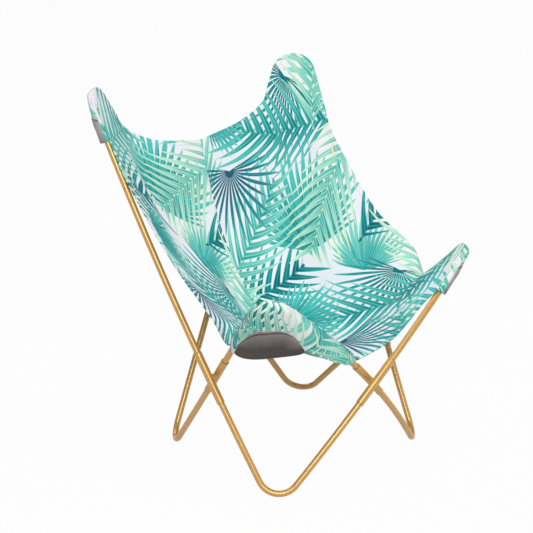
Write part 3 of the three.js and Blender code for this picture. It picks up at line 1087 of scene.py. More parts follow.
@dataclass(frozen=True)
class Bend:
    """The bend that joins two arms at a corner, with the axes of its plane."""

    corner: Array
    arms: tuple[Arm, Arm]
    radius: float
    reach: float
    half: float
    down: Array
    across: Array
    out: Array
    centre: Array

    @classmethod
    def between(cls, corner: Array, end_arm: Arm, side_arm: Arm, radius: float,
                rounds: int = 8) -> "Bend":
        """The fillet of a radius between two arms.

        The arms are curved, so their angle is taken where the fillet of the last round ends.

        Args:
            corner: where the arms would meet.
            end_arm: the arm towards the front or rear crossing.
            side_arm: the arm towards the side crossing.
            radius: radius of the tube's axis.
            rounds: how often the angle is taken.

        Returns:
            The bend.
        """
        reach = radius
        for _ in range(rounds):
            a, b = (unit(arm.points(arm.at(corner, reach))[0] - corner)
                    for arm in (end_arm, side_arm))
            half = math.acos(a.dot(b)) / 2
            reach = radius / math.tan(half)
        down, across = unit(a + b), unit(b - a)
        out = np.cross(down, across)
        out = out * -np.sign(out[2])
        return cls(corner, (end_arm, side_arm), radius, reach, half, down, across, out,
                   corner + down * radius / math.sin(half))

    def axis(self, end_gap: float, arm_steps: int, bend_steps: int) -> Array:
        """The hairpin's centre line, from one connector round the bend to the next.

        Args:
            end_gap: distance between the two tube ends inside a connector.
            arm_steps: steps along an arm.
            bend_steps: steps round the bend.

        Returns:
            Points on the line.
        """
        legs = []
        for arm in self.arms:
            sign = -1 if np.allclose(self.corner, arm.foot) else 1
            end = arm.crossing + sign * end_gap / 2 / arm.length
            legs.append(arm.points(np.linspace(end, arm.at(self.corner, self.reach), arm_steps)))
        turn = math.pi / 2 - self.half
        angle = np.linspace(-turn, turn, bend_steps)[1:-1, None]
        arc = self.centre + self.radius * (self.across * np.sin(angle) - self.down * np.cos(angle))
        return np.vstack([legs[0], arc, legs[1][::-1]])


# Each arm by its crossing and loop of tube, with the corners that it joins
ROUTES = {
    "right_outer": ("foot_front_right", "top_rear_right"),
    "right_inner": ("foot_rear_right", "top_front_right"),
    "left_outer": ("foot_rear_left", "top_front_left"),
    "left_inner": ("foot_front_left", "top_rear_left"),
    "front_outer": ("foot_front_right", "top_front_left"),
    "front_inner": ("foot_front_left", "top_front_right"),
    "rear_outer": ("foot_rear_left", "top_rear_right"),
    "rear_inner": ("foot_rear_right", "top_rear_left"),
}


@dataclass
class TubeFrame:
    """The knock-down frame: eight hairpins, eight connector sleeves and four bosses."""

    paint: Material
    tube_radius: float = 0.0075
    foot_bend: float = 0.050
    top_bend: float = 0.045
    foot_flat: float = 0.001
    end_gap: float = 0.004
    sleeve_length: float = 0.130
    sleeve_bore: float = 0.0078
    sleeve_radius: float = 0.0093
    lip_share: float = 0.6
    boss_radius: float = 0.0065
    boss_height: float = 0.004
    weld_reach: float = 0.003
    weld_flare: float = 0.0012
    seat_gap: float = 0.0003
    foot_front: tuple = (0.255, -0.223)
    foot_rear: tuple = (0.235, 0.206)
    top_front: tuple = (0.338, -0.268, 0.517)
    top_rear: tuple = (0.347, 0.357, 0.975)
    cross_side: tuple = (0.286, -0.043, 0.252)
    cross_front: tuple = (0.0, -0.280, 0.236)
    cross_rear: tuple = (0.0, 0.274, 0.351)
    sides: int = 40
    arm_steps: int = 60
    bend_steps: int = 48
    lip_steps: int = 6
    sleeve_steps: int = 25
    guide_steps: int = 9
    boss_steps: int = 15
    stand_rounds: int = 6

    def __post_init__(self) -> None:
        """Solves the corners, arms and bends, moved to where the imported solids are."""
        self.half_cross = self.sleeve_radius + self.seat_gap + self.boss_height / 2
        side_x, side_y, side_z = self.cross_side
        self.crossings = {
            "right": (np.array([-side_x, side_y, side_z]), np.array([-1.0, 0, 0])),
            "left": (np.array([side_x, side_y, side_z]), np.array([1.0, 0, 0])),
            "front": (np.array(self.cross_front), np.array([0, -1.0, 0])),
            "rear": (np.array(self.cross_rear), np.array([0, 1.0, 0])),
        }
        self.corners = {name: self._corner(name) for pair in ROUTES.values() for name in pair}
        self.move = self._offset()
        self._stand()

    def _offset(self) -> Array:
        """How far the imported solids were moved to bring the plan's middle to the origin."""
        front, side = (np.mean(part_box(name), axis=0) for name in ("boss_front", "boss_left"))
        return np.array([front[0] - self.cross_front[0], side[1] - self.cross_side[1], 0.0])

    def _level(self, route: str) -> float:
        """How far out a route's loop of tube lies from the middle of its crossing."""
        return self.half_cross if route.endswith("outer") else -self.half_cross

    def _corner(self, name: str) -> Array:
        """A corner on the outer or inner loop of tube, before it is moved.

        Args:
            name: the corner's kind, end and side.

        Returns:
            Its place.
        """
        kind, end, side = name.split("_")
        base = np.array((*getattr(self, f"{kind}_{end}"), 0.0)[:3])
        shift = self._level(next(route for route, pair in ROUTES.items() if name in pair))
        return np.array([Side[side.upper()].value * (base[0] + shift),
                         base[1] + math.copysign(shift, base[1] * shift), base[2]])

    def _solve(self) -> None:
        """Arms and bends for the corners as they are now."""
        self.arms, self.bends = {}, {}
        for name, pair in ROUTES.items():
            point, outward = self.crossings[name.split("_")[0]]
            cross = point + outward * self._level(name) + self.move
            foot, top = (self.corners[corner] + self.move for corner in pair)
            self.arms[name] = Arm(foot, cross, top)
        for name, corner in self.corners.items():
            pair = [route for route, ends in ROUTES.items() if name in ends]
            pair.sort(key=lambda route: route.split("_")[0] in ("left", "right"))
            radius = self.foot_bend if name.startswith("foot") else self.top_bend
            end_arm, side_arm = (self.arms[route] for route in pair)
            self.bends[name] = Bend.between(corner + self.move, end_arm, side_arm, radius)

    def _stand(self) -> None:
        """Moves each foot corner until its bend stands its flat's depth in the floor."""
        for _ in range(self.stand_rounds):
            self._solve()
            for name in (n for n in self.corners if n.startswith("foot")):
                bend = self.bends[name]
                low = bend.centre[2] - bend.radius * math.sqrt(1 - bend.out[2] ** 2)
                self.corners[name][2] += self.tube_radius - self.foot_flat - low
        self._solve()

    def _dress(self, name: str, points: Array, faces: list, *nodes: str) -> None:
        """Makes a painted piece that stands for CAD nodes.

        Args:
            name: the piece's name.
            points: its points.
            faces: its faces.
            nodes: names of the CAD nodes.
        """
        piece = new_piece(name, points, faces, self.paint)
        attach(piece, BODY)
        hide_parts(*nodes)

    def build(self) -> None:
        """Builds every tube, sleeve and boss."""
        for name, bend in self.bends.items():
            path = bend.axis(self.end_gap, self.arm_steps, self.bend_steps)
            points, faces = sweep(path, np.full(len(path), self.tube_radius), self.sides)
            points[:, 2] = np.maximum(points[:, 2], 0.0)
            self._dress(f"{name}_tube", points, faces, f"{name}_hairpin")
        for name, arm in self.arms.items():
            self._sleeve(name, arm)
        for name, (point, outward) in self.crossings.items():
            self._boss(name, point + self.move, outward)

    def _sleeve(self, name: str, arm: Arm) -> None:
        """A connector sleeve: a wall with quarter-round lips, carried along the arm.

        Args:
            name: the route that it is on.
            arm: the arm that passes through it.
        """
        wall = self.sleeve_radius - self.sleeve_bore
        half = self.sleeve_length / 2
        lip = np.linspace(0, math.pi / 2, self.lip_steps)
        inset = wall * self.lip_share * (1 - np.sin(lip))
        radius = self.sleeve_radius - wall * self.lip_share * (1 - np.cos(lip))
        middle = np.linspace(-half + wall, half - wall, self.sleeve_steps)
        outer = np.concatenate([-half + inset, middle, half - inset[::-1]])
        skin = np.concatenate([radius[::-1], np.full(len(middle), self.sleeve_radius), radius])
        stations = np.concatenate([outer, outer[::-1]])
        radii = np.concatenate([skin, np.full(len(outer), self.sleeve_bore)])
        t = arm.crossing + stations / arm.length
        path = arm.points(t)
        guide = arm.points(np.linspace(t.min(), t.max(), self.guide_steps))
        first, second = (direction[self.guide_steps // 2] for direction in side_directions(guide))
        turn = np.arange(self.sides)[:, None] * math.tau / self.sides
        ring = np.cos(turn) * first + np.sin(turn) * second
        points = path[:, None] + radii[:, None, None] * ring[None]
        faces = grid_faces(len(path), self.sides, True, True).tolist()
        self._dress(f"connector_{name}", points.reshape(-1, 3), faces, f"sleeve_{name}")

    def _boss(self, name: str, point: Array, outward: Array) -> None:
        """A boss between two sleeves: a short rod that flares where it is welded to them.

        Args:
            name: the crossing.
            point: its middle.
            outward: the direction away from the chair's middle.
        """
        steps = np.linspace(-1, 1, self.boss_steps)
        path = point + outward * (steps * (self.boss_height / 2 + self.weld_reach))[:, None]
        radii = self.boss_radius + self.weld_flare * np.abs(steps) ** 3
        points, faces = sweep(path, radii, self.sides)
        self._dress(f"weld_boss_{name}", points, faces, f"boss_{name}")


# Sling


@dataclass(frozen=True)
class PocketCut:
    """How one pocket is cut, and how far the cloth lies over the two arms below it.

    The flap lies between two parts of the half turn from the end arm over to the side arm, and
    its mouth hangs lower by the belly. The seam above it is a sine's arch from one part of a half
    turn to the other, and a skew below 1 moves its top to the end arm. The shade is how far the
    flap's painted shade darkens it over to the side arm; below 1 the flap is also painted paler.
    """

    depth: float
    gape: float
    hood_depth: float
    flap_from: float
    end_cover: float
    side_cover: float
    flap_to: float = 0.89
    seam_from: float = 0.3
    skew: float = 1.0
    belly: float = 0.0
    crown: float = 0.0015
    # Painted shade across the flap; below 1 the flap is painted paler instead
    shade: float = 0.2
    brim: bool = False


TALL_CUT = PocketCut(depth=0.115, gape=0.022, hood_depth=0.050, flap_from=0.12, flap_to=0.975,
                     end_cover=0.121, side_cover=0.190)
LOW_CUT = PocketCut(depth=0.120, gape=0.022, hood_depth=0.034, flap_from=0.09,
                    end_cover=0.126, side_cover=0.126)
SLACK_CUT = PocketCut(depth=0.140, gape=0.040, hood_depth=0.064, flap_from=0.39, flap_to=0.83,
                      end_cover=0.262, side_cover=0.156, seam_from=0.1, skew=0.7, belly=0.012,
                      crown=0.007, shade=1.0, brim=True)
CUTS = {
    (End.FRONT, Side.LEFT): LOW_CUT,
    (End.FRONT, Side.RIGHT): SLACK_CUT,
    (End.REAR, Side.LEFT): TALL_CUT,
    (End.REAR, Side.RIGHT): TALL_CUT,
}


@dataclass
class Pocket:
    """A corner pocket round a top hairpin, in depths below its highest point."""

    bend: Bend
    cut: PocketCut
    offset: float = 0.0091
    rim_offset: float = 0.0101
    base: float = 0.00145
    arch: float = 4.0
    lead_depth: float = 0.030
    lead_inset: float = 0.018
    lead_rise: float = 0.004
    belly_skew: float = 0.45
    belly_rise: float = 0.35
    seam_round: float = 0.8
    edge_parts: tuple = (1, 0.72, 0.46, 0.25, 0.1, 0.02)
    track_steps: int = 900

    def __post_init__(self) -> None:
        """Finds the apex and the rim's way along both arms."""
        bend = self.bend
        self.radius = bend.radius + self.rim_offset
        self.apex = bend.centre - bend.down * self.radius
        self.tracks = {}
        for side, arm in zip((-1, 1), bend.arms):
            t = np.linspace(arm.at(bend.corner, bend.reach), arm.crossing, self.track_steps)
            beside = side * math.cos(bend.half) * bend.across - math.sin(bend.half) * bend.down
            self.tracks[side] = arm.points(t) + beside * self.rim_offset - bend.out * self.offset

    def rim(self, side: int, depth: Array) -> Array:
        """Points of the rim: round the bend, then along the arm.

        Args:
            side: -1 for the end arm, 1 for the side arm.
            depth: below the apex.

        Returns:
            A point for each depth.
        """
        bend, radius = self.bend, self.radius
        depth = np.asarray(depth, dtype=float)
        width = side * np.sqrt(np.maximum(radius ** 2 - (radius - depth) ** 2, 0))
        arc = self.top() + depth[..., None] * bend.down + width[..., None] * bend.across
        track = self.tracks[side]
        deep = (track - self.apex) @ bend.down
        leg = np.stack([np.interp(depth, deep, track[:, k]) for k in range(3)], axis=-1)
        return np.where((depth < radius * (1 - math.sin(bend.half)))[..., None], arc, leg)

    def cover(self, side: int) -> float:
        """How far down one arm the panel's edge lies over it."""
        return self.cut.end_cover if side < 0 else self.cut.side_cover

    def edge(self, side: int) -> Array:
        """Points of the rim on one side, from the end of the cover up to near the apex."""
        return self.rim(side, np.array(self.edge_parts) * self.cover(side))

    def top(self) -> Array:
        """The rim's highest point."""
        return self.apex - self.bend.out * self.offset

    def lead(self, side: int) -> Array:
        """Where an edge comes up between the arms before it crosses over one of them."""
        below = self.rim(side, self.cover(side) + self.lead_depth)
        return below - self.bend.across * side * self.lead_inset - self.bend.out * self.lead_rise

    def wall(self, depth: Array, angle: Array) -> Array:
        """The outer wall: an arch over the tubes, of a rounded-box section, gaping to the mouth.

        Args:
            depth: below the apex.
            angle: 0 to pi from the end arm's rim over the arch to the side arm's rim.

        Returns:
            Points of the wall.
        """
        depth, angle = np.broadcast_arrays(np.asarray(depth, dtype=float), angle)
        nose = 1 - np.minimum(depth / self.rim_offset, 1)
        gape = self.rim_offset + (self.cut.gape - self.rim_offset) * depth / self.cut.depth
        rise = (gape + self.offset - self.base) * np.sqrt(1 - nose ** 2)
        cos, sin = np.cos(angle), np.maximum(np.sin(angle), 0)
        part = (1 - np.sign(cos) * np.abs(cos) ** (2 / self.arch)) / 2
        first, second = self.rim(-1, depth), self.rim(1, depth)
        foot = first + (second - first) * part[..., None]
        return foot + (self.base + rise * sin ** (2 / self.arch))[..., None] * self.bend.out

    def outward(self, sheet: Array) -> Array:
        """Unit normals of a grid on the wall, on its outer side."""
        normal = surface_normals(sheet)
        return normal * np.sign(normal @ self.bend.out)[..., None]

    def flap_part(self, angle: Array) -> Array:
        """How far an angle is along the flap, 0 to 1 from the end arm to the side arm."""
        return (angle / math.pi - self.cut.flap_from) / (self.cut.flap_to - self.cut.flap_from)

    def mouth(self, angle: Array) -> Array:
        """Depth of the flap's mouth: a belly near the end arm, a slight rise to the side arm.

        Args:
            angle: 0 to pi from the end arm to the side arm.

        Returns:
            A depth for each angle.
        """
        part = np.clip(self.flap_part(angle), 0, 1)
        hang = np.sin(math.pi * part ** self.belly_skew) - self.belly_rise * part
        return self.cut.depth + self.cut.belly * hang

    def seam(self, angle: Array) -> Array:
        """Depth of the curved seam between hood and flap; beside the flap, that of the mouth.

        Args:
            angle: 0 to pi from the end arm to the side arm.

        Returns:
            A depth for each angle.
        """
        part, start = self.flap_part(angle), self.cut.seam_from
        turn = start + (1 - 2 * start) * np.clip(part, 0, 1) ** self.cut.skew
        arch = np.sin(math.pi * turn) ** self.seam_round
        arch = np.where((part < -TINY) | (part > 1 + TINY), 0.0, arch)
        return self.cut.depth - (self.cut.depth - self.cut.hood_depth) * arch


@dataclass
class Sling:
    """The two sewn canvas panels with their hems, hoods, brim, flaps, bindings and stitches.

    Edge points are written for the left half, as the frame's corners are, before they are moved.
    """

    frame: TubeFrame
    canvas: Material
    coated: Material
    binding: Material
    thread: Material
    dark_thread: Material
    stitch: Stitch = Stitch()
    cloth: float = 0.0016
    flap_cloth: float = 0.0014
    seam_gap: float = 0.0004
    front_edge: tuple = (-0.247, 0.283)
    front_rise: tuple = (0.112, 0.306)
    top_edge: tuple = (0.327, 0.696)
    top_rise: tuple = (0.150, 0.334, 0.722)
    side_edge: tuple = ((0.330, -0.100, 0.442), (0.321, 0.020, 0.514), (0.324, 0.130, 0.618))
    slack_side: tuple = (0.010, 0.0, -0.016)
    centre_line: tuple = ((-0.075, 0.258), (0.095, 0.292), (0.240, 0.470))
    print_start: dict = field(default_factory=lambda: {
        Side.LEFT: (0.47, 0.21), Side.RIGHT: (0.30, 0.0)})
    rows: int = 180
    columns: int = 110
    column_ease: float = 1.5
    # Straightening: its first column and strength, and in parts of the rows where it sets in
    pull_from: float = 0.36
    pull_share: float = 0.8
    pull_low: tuple = (0.26, 0.12)
    pull_high: tuple = (0.98, 0.16)
    # Folds out of the tips: height, waves round the two tips, and distances from the tip
    fold: float = 0.0022
    fold_waves: tuple = (9.0, 11.0)
    fold_start: float = 0.15
    fold_ramp: float = 0.12
    fold_reach: float = 0.2
    fold_twist: float = 0.6
    fold_edge: float = 8.0
    # Hems: width, layers of cloth, and the row that is sewn
    hem: float = 0.014
    seam_hem: float = 0.007
    hem_layers: float = 1.7
    hem_search: int = 40
    hem_rows: int = 7
    hem_inset: int = 2
    sewn_row: int = 5
    # Pockets: columns before, on and after the flap, rows, and how the rows crowd at the tip
    flap_columns: int = 61
    hood_columns: tuple = (18, 14)
    turn_gap: float = 0.012
    nose: float = 0.00005
    hood_rows: int = 60
    hood_ease: float = 2.2
    flap_rows: int = 24
    sewn_flap_rows: tuple = (("mouth", -3), ("seam", 2))
    bead_lift: float = 0.55
    # Painted paler tone of the flaps whose shade is below 1
    pale: float = 0.6
    binding_radius: float = 0.0010
    binding_lift: float = 0.0005
    binding_sides: int = 10
    crown_ease: float = 0.8
    crease: float = 0.0030
    crease_waves: tuple = (38, 17)
    crease_reach: float = 1.6
    crease_fade: float = 1.5
    brim_end: float = 0.02
    brim_rows: int = 70
    brim_columns: int = 24

    def build(self) -> None:
        for side in Side:
            self._half(side)

    def _half(self, side: Side) -> None:
        """Builds one panel with everything that is sewn to it.

        Args:
            side: which half.
        """
        pockets = {end: Pocket(self.frame.bends[f"top_{end.value}_{side.word}"], CUTS[end, side])
                   for end in End}
        grid = self._surface(side, pockets[End.FRONT], pockets[End.REAR])
        places = self._layout(grid, side)
        panel = self._cloth(f"sling_{side.word}", grid, places, self.canvas, self.cloth)
        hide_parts(f"sling_panel_{side.word}")
        extras = self._hems(side, grid, places)
        for end, pocket in pockets.items():
            extras += self._pocket(side, end, pocket, places[0 if end is End.FRONT else -1, -1])

    def _cloth(self, name: str, grid: Array, places: Array, material: Material,
               thickness: float) -> Piece:
        """A sheet piece from a grid of points.

        Args:
            name: the piece's name.
            grid: its points in rows.
            places: a UV position for each point.
            material: its finish.
            thickness: of the cloth.

        Returns:
            The piece.
        """
        faces = grid_faces(*grid.shape[:2]).tolist()
        piece = new_piece(name, grid.reshape(-1, 3), faces, material, places.reshape(-1, 2))
        thicken(piece, thickness)
        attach(piece, BODY)
        return piece

    @staticmethod
    def _trim(name: str, points: Array, faces: list, material: Material,
              slot: str = "canvas") -> Piece:
        """A piece sewn on the cloth, such as a binding or a row of stitches.

        Args:
            name: the piece's name.
            points: its points.
            faces: its faces.
            material: its finish.
            slot: not used.

        Returns:
            The piece.
        """
        piece = new_piece(name, points, faces, material)
        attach(piece, BODY)
        return piece

    def _surface(self, side: Side, front: Pocket, rear: Pocket) -> Array:
        """The panel as a patch between its four edges.

        The four edge curves are blended across the patch, with the square of the way out from the
        seam for the bowl's section, and slight pulled folds run out of the two tips.

        Args:
            side: which half.
            front: its low pocket.
            rear: its tall pocket.

        Returns:
            Points, from the front edge back and from the seam out.
        """
        sign = side.value
        seam = sign * self.seam_gap / 2

        def point(x: float, y: float, z: float) -> Array:
            """A point of the pattern, moved with the frame."""
            return np.array([x, y, z]) + self.frame.move

        low = point(seam, *self.front_edge)
        high = point(seam, *self.top_edge)
        rise = point(sign * self.front_rise[0], self.front_edge[0], self.front_rise[1])
        slack = np.array(self.slack_side) * front.cut.brim
        sides = [point(sign * x, y, z) for x, y, z in np.array(self.side_edge) + slack]
        front_edge = spline(np.vstack([
            low, *([] if front.cut.brim else [rise]), front.lead(-1), front.edge(-1), front.top()]))
        top_edge = spline(np.vstack([
            high, point(sign * self.top_rise[0], *self.top_rise[1:]), rear.edge(-1), rear.top()]))
        centre = spline(np.vstack([low, *(point(seam, *p) for p in self.centre_line), high]))
        side_edge = spline(np.vstack([
            front.top(), front.edge(1)[::-1], *sides, rear.edge(1), rear.top()]))
        # Rows crowd a little towards both ends, and columns towards the side edge
        step = np.linspace(0, 1, self.rows)
        v = (step + (1 - np.cos(math.pi * step)) / 2) / 2
        u = 1 - (1 - np.linspace(0, 1, self.columns)) ** self.column_ease
        bowl, back = (u ** 2)[None, :, None], v[:, None, None]
        ends = front_edge[-1], top_edge[-1]
        grid = ((1 - back) * points_along(front_edge, u)[None]
                + back * points_along(top_edge, u)[None]
                + (1 - bowl) * points_along(centre, v)[:, None]
                + bowl * points_along(side_edge, v)[:, None]
                - (1 - back) * ((1 - bowl) * low + bowl * ends[0])
                - back * ((1 - bowl) * high + bowl * ends[1]))
        grid = self._pull(grid)
        return grid + surface_normals(grid) * self._folds(grid, ends)[..., None]

    def _pull(self, grid: Array) -> Array:
        """Pulls the cloth straighter where it rises to the side edge between the two pockets.

        Each row moves part of the way to the straight line from its middle to its edge, least at
        the middle and next to the pockets.

        Args:
            grid: the panel's points.

        Returns:
            The points after the pull.
        """
        start = int(self.columns * self.pull_from)
        outer = grid[:, start:]
        run = run_lengths(outer, 1)
        part = (run / run[:, -1:])[..., None]
        line = outer[:, :1] + (outer[:, -1:] - outer[:, :1]) * part
        v = np.linspace(0, 1, self.rows)[:, None, None]
        (low, low_ramp), (high, high_ramp) = self.pull_low, self.pull_high
        clear = np.clip((v - low) / low_ramp, 0, 1) * np.clip((high - v) / high_ramp, 0, 1)
        share = self.pull_share * smooth(clear) * smooth(np.minimum(part * 2, 1))
        return np.concatenate([grid[:, :start], outer + (line - outer) * share], axis=1)

    def _folds(self, grid: Array, tips: tuple) -> Array:
        """Height of the pulled folds: waves round each tip that rise and die away with distance.

        Args:
            grid: the panel's points.
            tips: its front and rear tip.

        Returns:
            A height for each point.
        """
        height = np.zeros(grid.shape[:2])
        for tip, waves in zip(tips, self.fold_waves):
            apart = grid - tip
            distance = np.linalg.norm(apart, axis=2)
            heading = np.arctan2(apart[..., 2], np.hypot(apart[..., 0], apart[..., 1]) + TINY)
            turn = np.arctan2(apart[..., 1], apart[..., 0])
            rise = np.clip((distance - self.fold_start) / self.fold_ramp, 0, 1)
            fade = np.exp(-((distance - self.fold_reach) / self.fold_reach) ** 2)
            height += self.fold * rise * fade * np.sin(waves * (turn + self.fold_twist * heading))
        edge = np.minimum(np.linspace(0, 1, grid.shape[1]) * self.fold_edge, 1)
        return height * edge[None, :]

    def _layout(self, grid: Array, side: Side) -> Array:
        """Where each point lies on the flat cloth, in metres: across the rows, along the seam.

        Args:
            grid: the panel's points.
            side: which half.

        Returns:
            A place for each point.
        """
        across = run_lengths(grid, 1)
        up = np.broadcast_to(run_lengths(grid[:, 0], 0)[:, None], across.shape)
        return np.stack([side.value * across, up], axis=-1) + np.array(self.print_start[side])

    def _hems(self, side: Side, grid: Array, places: Array) -> list:
        """Turned hems along the free edges and the seam: doubled cloth with a row of stitches.

        Args:
            side: which half.
            grid: the panel's points.
            places: their places on the flat cloth.

        Returns:
            The pieces.
        """
        sheets = (grid, surface_normals(grid), places)
        turned = [np.swapaxes(a, 0, 1) for a in sheets]
        edges = {
            "front": ([a[:self.hem_search] for a in sheets], self.hem),
            "top": ([a[-self.hem_search:][::-1] for a in sheets], self.hem),
            "side": ([a[::-1] for a in turned], self.hem),
            "seam": (turned, self.seam_hem),
        }
        made = []
        for name, (parts, wide) in edges.items():
            made += self._band(f"{name}_hem_{side.word}", parts, wide)
        return made

    def _band(self, name: str, sheets: list, wide: float) -> list:
        """A band of doubled cloth along the first row of a grid, with stitches near its inner edge.

        Args:
            name: the band's name.
            sheets: the grid's points, their normals and their places on the flat cloth.
            wide: the band's width.

        Returns:
            The band and its two rows of stitches.
        """
        inward = run_lengths(sheets[0], 0)
        columns = np.arange(inward.shape[1])
        deep = np.minimum(np.linspace(0, 1, self.hem_rows)[:, None] * wide, inward[-1])
        upper = np.clip((inward[None] < deep[:, None]).sum(axis=1), 1, len(inward) - 1)
        lower = upper - 1
        gap = np.maximum(inward[upper, columns] - inward[lower, columns], NO_GAP)
        part = np.clip((deep - inward[lower, columns]) / gap, 0, 1)[..., None]
        keep = slice(self.hem_inset, -self.hem_inset)
        grid, ups, places = ((a[lower, columns] * (1 - part) + a[upper, columns] * part)[:, keep]
                             for a in sheets)
        thickness = self.cloth * self.hem_layers
        made = [self._cloth(name, grid, places, self.canvas, thickness)]
        for sign, word in ((1, "upper"), (-1, "under")):
            up = ups[self.sewn_row] * sign
            beads, faces = self.stitch.row(grid[self.sewn_row] + up * thickness / 2, up)
            made.append(self._trim(f"{name}_{word}_stitches", beads, faces, self.thread))
        return made

    @staticmethod
    def _unroll(grid: Array, column: int, start: Array, way: Array) -> Array:
        """The print's place on a hood or brim, unrolled to its true size from one of its columns.

        Args:
            grid: points, in rows across the pocket from the tip down.
            column: the column that stays straight.
            start: place of the first point of that column.
            way: signs of the print's two directions, down the pocket and across it.

        Returns:
            A place on the flat cloth for each point.
        """
        across = run_lengths(grid, 1)
        across = across - across[:, column:column + 1]
        down = np.broadcast_to(run_lengths(grid[:, column], 0)[:, None], across.shape)
        return start + np.stack([down, across], axis=-1) * way

    def _pocket(self, side: Side, end: End, pocket: Pocket, tip: Array) -> list:
        """A pocket's printed hood, coated flap with its trim, and brim where it has one.

        Args:
            side: which half.
            end: which end of it.
            pocket: the pocket's walls.
            tip: place of the panel's tip on the flat cloth.

        Returns:
            The pieces.
        """
        tag = f"{end.value}_{side.word}"
        way = np.array([side.value, 1 if end is End.FRONT else -1])
        angle = np.linspace(pocket.cut.flap_from * math.pi, pocket.cut.flap_to * math.pi,
                            self.flap_columns)
        hood, places = self._hood(tag, pocket, angle, tip, way)
        made = [hood, *self._flap(tag, pocket, angle, side)]
        if pocket.cut.brim:
            made += self._brim(tag, pocket, places[-1, 0], way)
        return made

    def _hood(self, tag: str, pocket: Pocket, flap: Array, tip: Array,
              way: Array) -> tuple[Piece, Array]:
        """The hood: the wall from the tip down to the seam, and beside the flap to the mouth.

        Args:
            tag: the corner.
            pocket: its walls.
            flap: angles of the flap's columns.
            tip: place of the panel's tip on the flat cloth.
            way: signs of the print's two directions.

        Returns:
            The piece and its places on the flat cloth.
        """
        before, after = self.hood_columns
        angle = np.concatenate([np.linspace(0, flap[0] - self.turn_gap, before), flap,
                                np.linspace(flap[-1] + self.turn_gap, math.pi, after)])
        part = np.linspace(0, 1, self.hood_rows)[:, None] ** self.hood_ease
        grid = pocket.wall(self.nose + (pocket.seam(angle) - self.nose) * part, angle[None])
        places = self._unroll(grid, len(angle) // 2, tip, way)
        hood = self._cloth(f"hood_cloth_{tag}", grid, places, self.canvas, self.flap_cloth)
        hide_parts(f"hood_{tag}")
        return hood, places

    def _flap(self, tag: str, pocket: Pocket, angle: Array, side: Side) -> list:
        """The flap: the wall from the seam down to the mouth, with its binding and stitches.

        Args:
            tag: the corner.
            pocket: its walls.
            angle: angles of its columns.
            side: which half it is on.

        Returns:
            The pieces.
        """
        rows = np.linspace(0, 1, self.flap_rows)[:, None]
        seam, shade = pocket.seam(angle), pocket.cut.shade
        sheet = pocket.wall(seam + (pocket.mouth(angle) - seam) * rows, angle[None])
        relief = self._creases(rows, angle, side, pocket.cut.crown)
        sheet = sheet + pocket.outward(sheet) * relief[..., None]
        # Painted shade: the flap's tone darkens over to the side arm, and flaps with a shade below
        # 1 are painted paler
        tone = angle[None] / math.pi * shade - self.pale * (1 - shade)
        places = np.stack(np.broadcast_arrays(tone, rows), axis=-1)
        flap = self._cloth(f"flap_cloth_{tag}", sheet, places, self.coated, self.flap_cloth)
        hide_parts(f"flap_{tag}")
        up = pocket.outward(sheet)
        line = pocket.wall(seam, angle) + up[0] * self.binding_lift
        cord, faces = sweep(line, np.full(len(line), self.binding_radius), self.binding_sides)
        made = [flap, self._trim(f"binding_{tag}", cord, faces, self.binding, "leatherette")]
        for word, row in self.sewn_flap_rows:
            line = sheet[row] + up[row] * self.flap_cloth * self.bead_lift
            beads, faces = self.stitch.row(line, up[row])
            made.append(self._trim(f"{word}_stitches_{tag}", beads, faces, self.dark_thread))
        return made

    def _creases(self, rows: Array, angle: Array, side: Side, crown: float) -> Array:
        """Height of a flap's soft crown and of the short creases below its seam.

        The crown is a half sine both ways. The creases are two sines multiplied along the flap,
        which die away down it.

        Args:
            rows: 0 to 1 from the seam to the mouth.
            angle: angles of its columns.
            side: which half it is on.
            crown: height of the crown.

        Returns:
            A height for each point.
        """
        part = (angle - angle[0]) / (angle[-1] - angle[0])
        ends = np.sin(part * math.pi)[None]
        fast, slow = self.crease_waves
        wave = np.sin(part * fast + side.value) * np.sin(part * slow)
        below = np.sin(math.pi * np.minimum(rows * self.crease_reach, 1))
        fade = below * np.exp(-self.crease_fade * rows)
        swell = crown * ends * np.sin(math.pi * rows ** self.crown_ease)
        return swell + self.crease * wave[None] * ends * fade

    def _brim(self, tag: str, pocket: Pocket, start: Array, way: Array) -> list:
        """The wall's cloth carried on in front of the end arm, narrowing to the cover's end.

        Args:
            tag: the corner.
            pocket: its walls.
            start: place of its first point on the flat cloth.
            way: signs of the print's two directions.

        Returns:
            The brim with its hem and stitches.
        """
        cut = pocket.cut
        part = np.linspace(0, 1, self.brim_rows)[:, None]
        turn = (cut.flap_from + (self.brim_end - cut.flap_from) * part) * math.pi
        depth = cut.depth + (cut.end_cover - cut.depth) * part
        grid = pocket.wall(depth, turn * np.linspace(0, 1, self.brim_columns)[None])
        places = self._unroll(grid, 0, start, way)
        piece = self._cloth(f"brim_cloth_{tag}", grid, places, self.canvas, self.flap_cloth)
        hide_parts(f"brim_{tag}")
        sheets = [np.swapaxes(a, 0, 1)[::-1] for a in (grid, surface_normals(grid), places)]
        return [piece, *self._band(f"brim_hem_{tag}", sheets, self.hem)]


# Studio


@dataclass(frozen=True)
class SoftBox:
    """A square soft lamp: its place, power in watts and side."""

    name: str
    place: tuple
    power: float
    side: float


SOFT_BOXES = (
    SoftBox("key", (-2.8, -3.0, 3.2), 150.0, 2.2),
    SoftBox("fill", (2.8, -2.6, 2.2), 32.0, 2.6),
    SoftBox("rim", (0.6, 3.2, 3.0), 40.0, 2.4),
    SoftBox("top", (0.0, -0.2, 3.6), 30.0, 2.4),
)


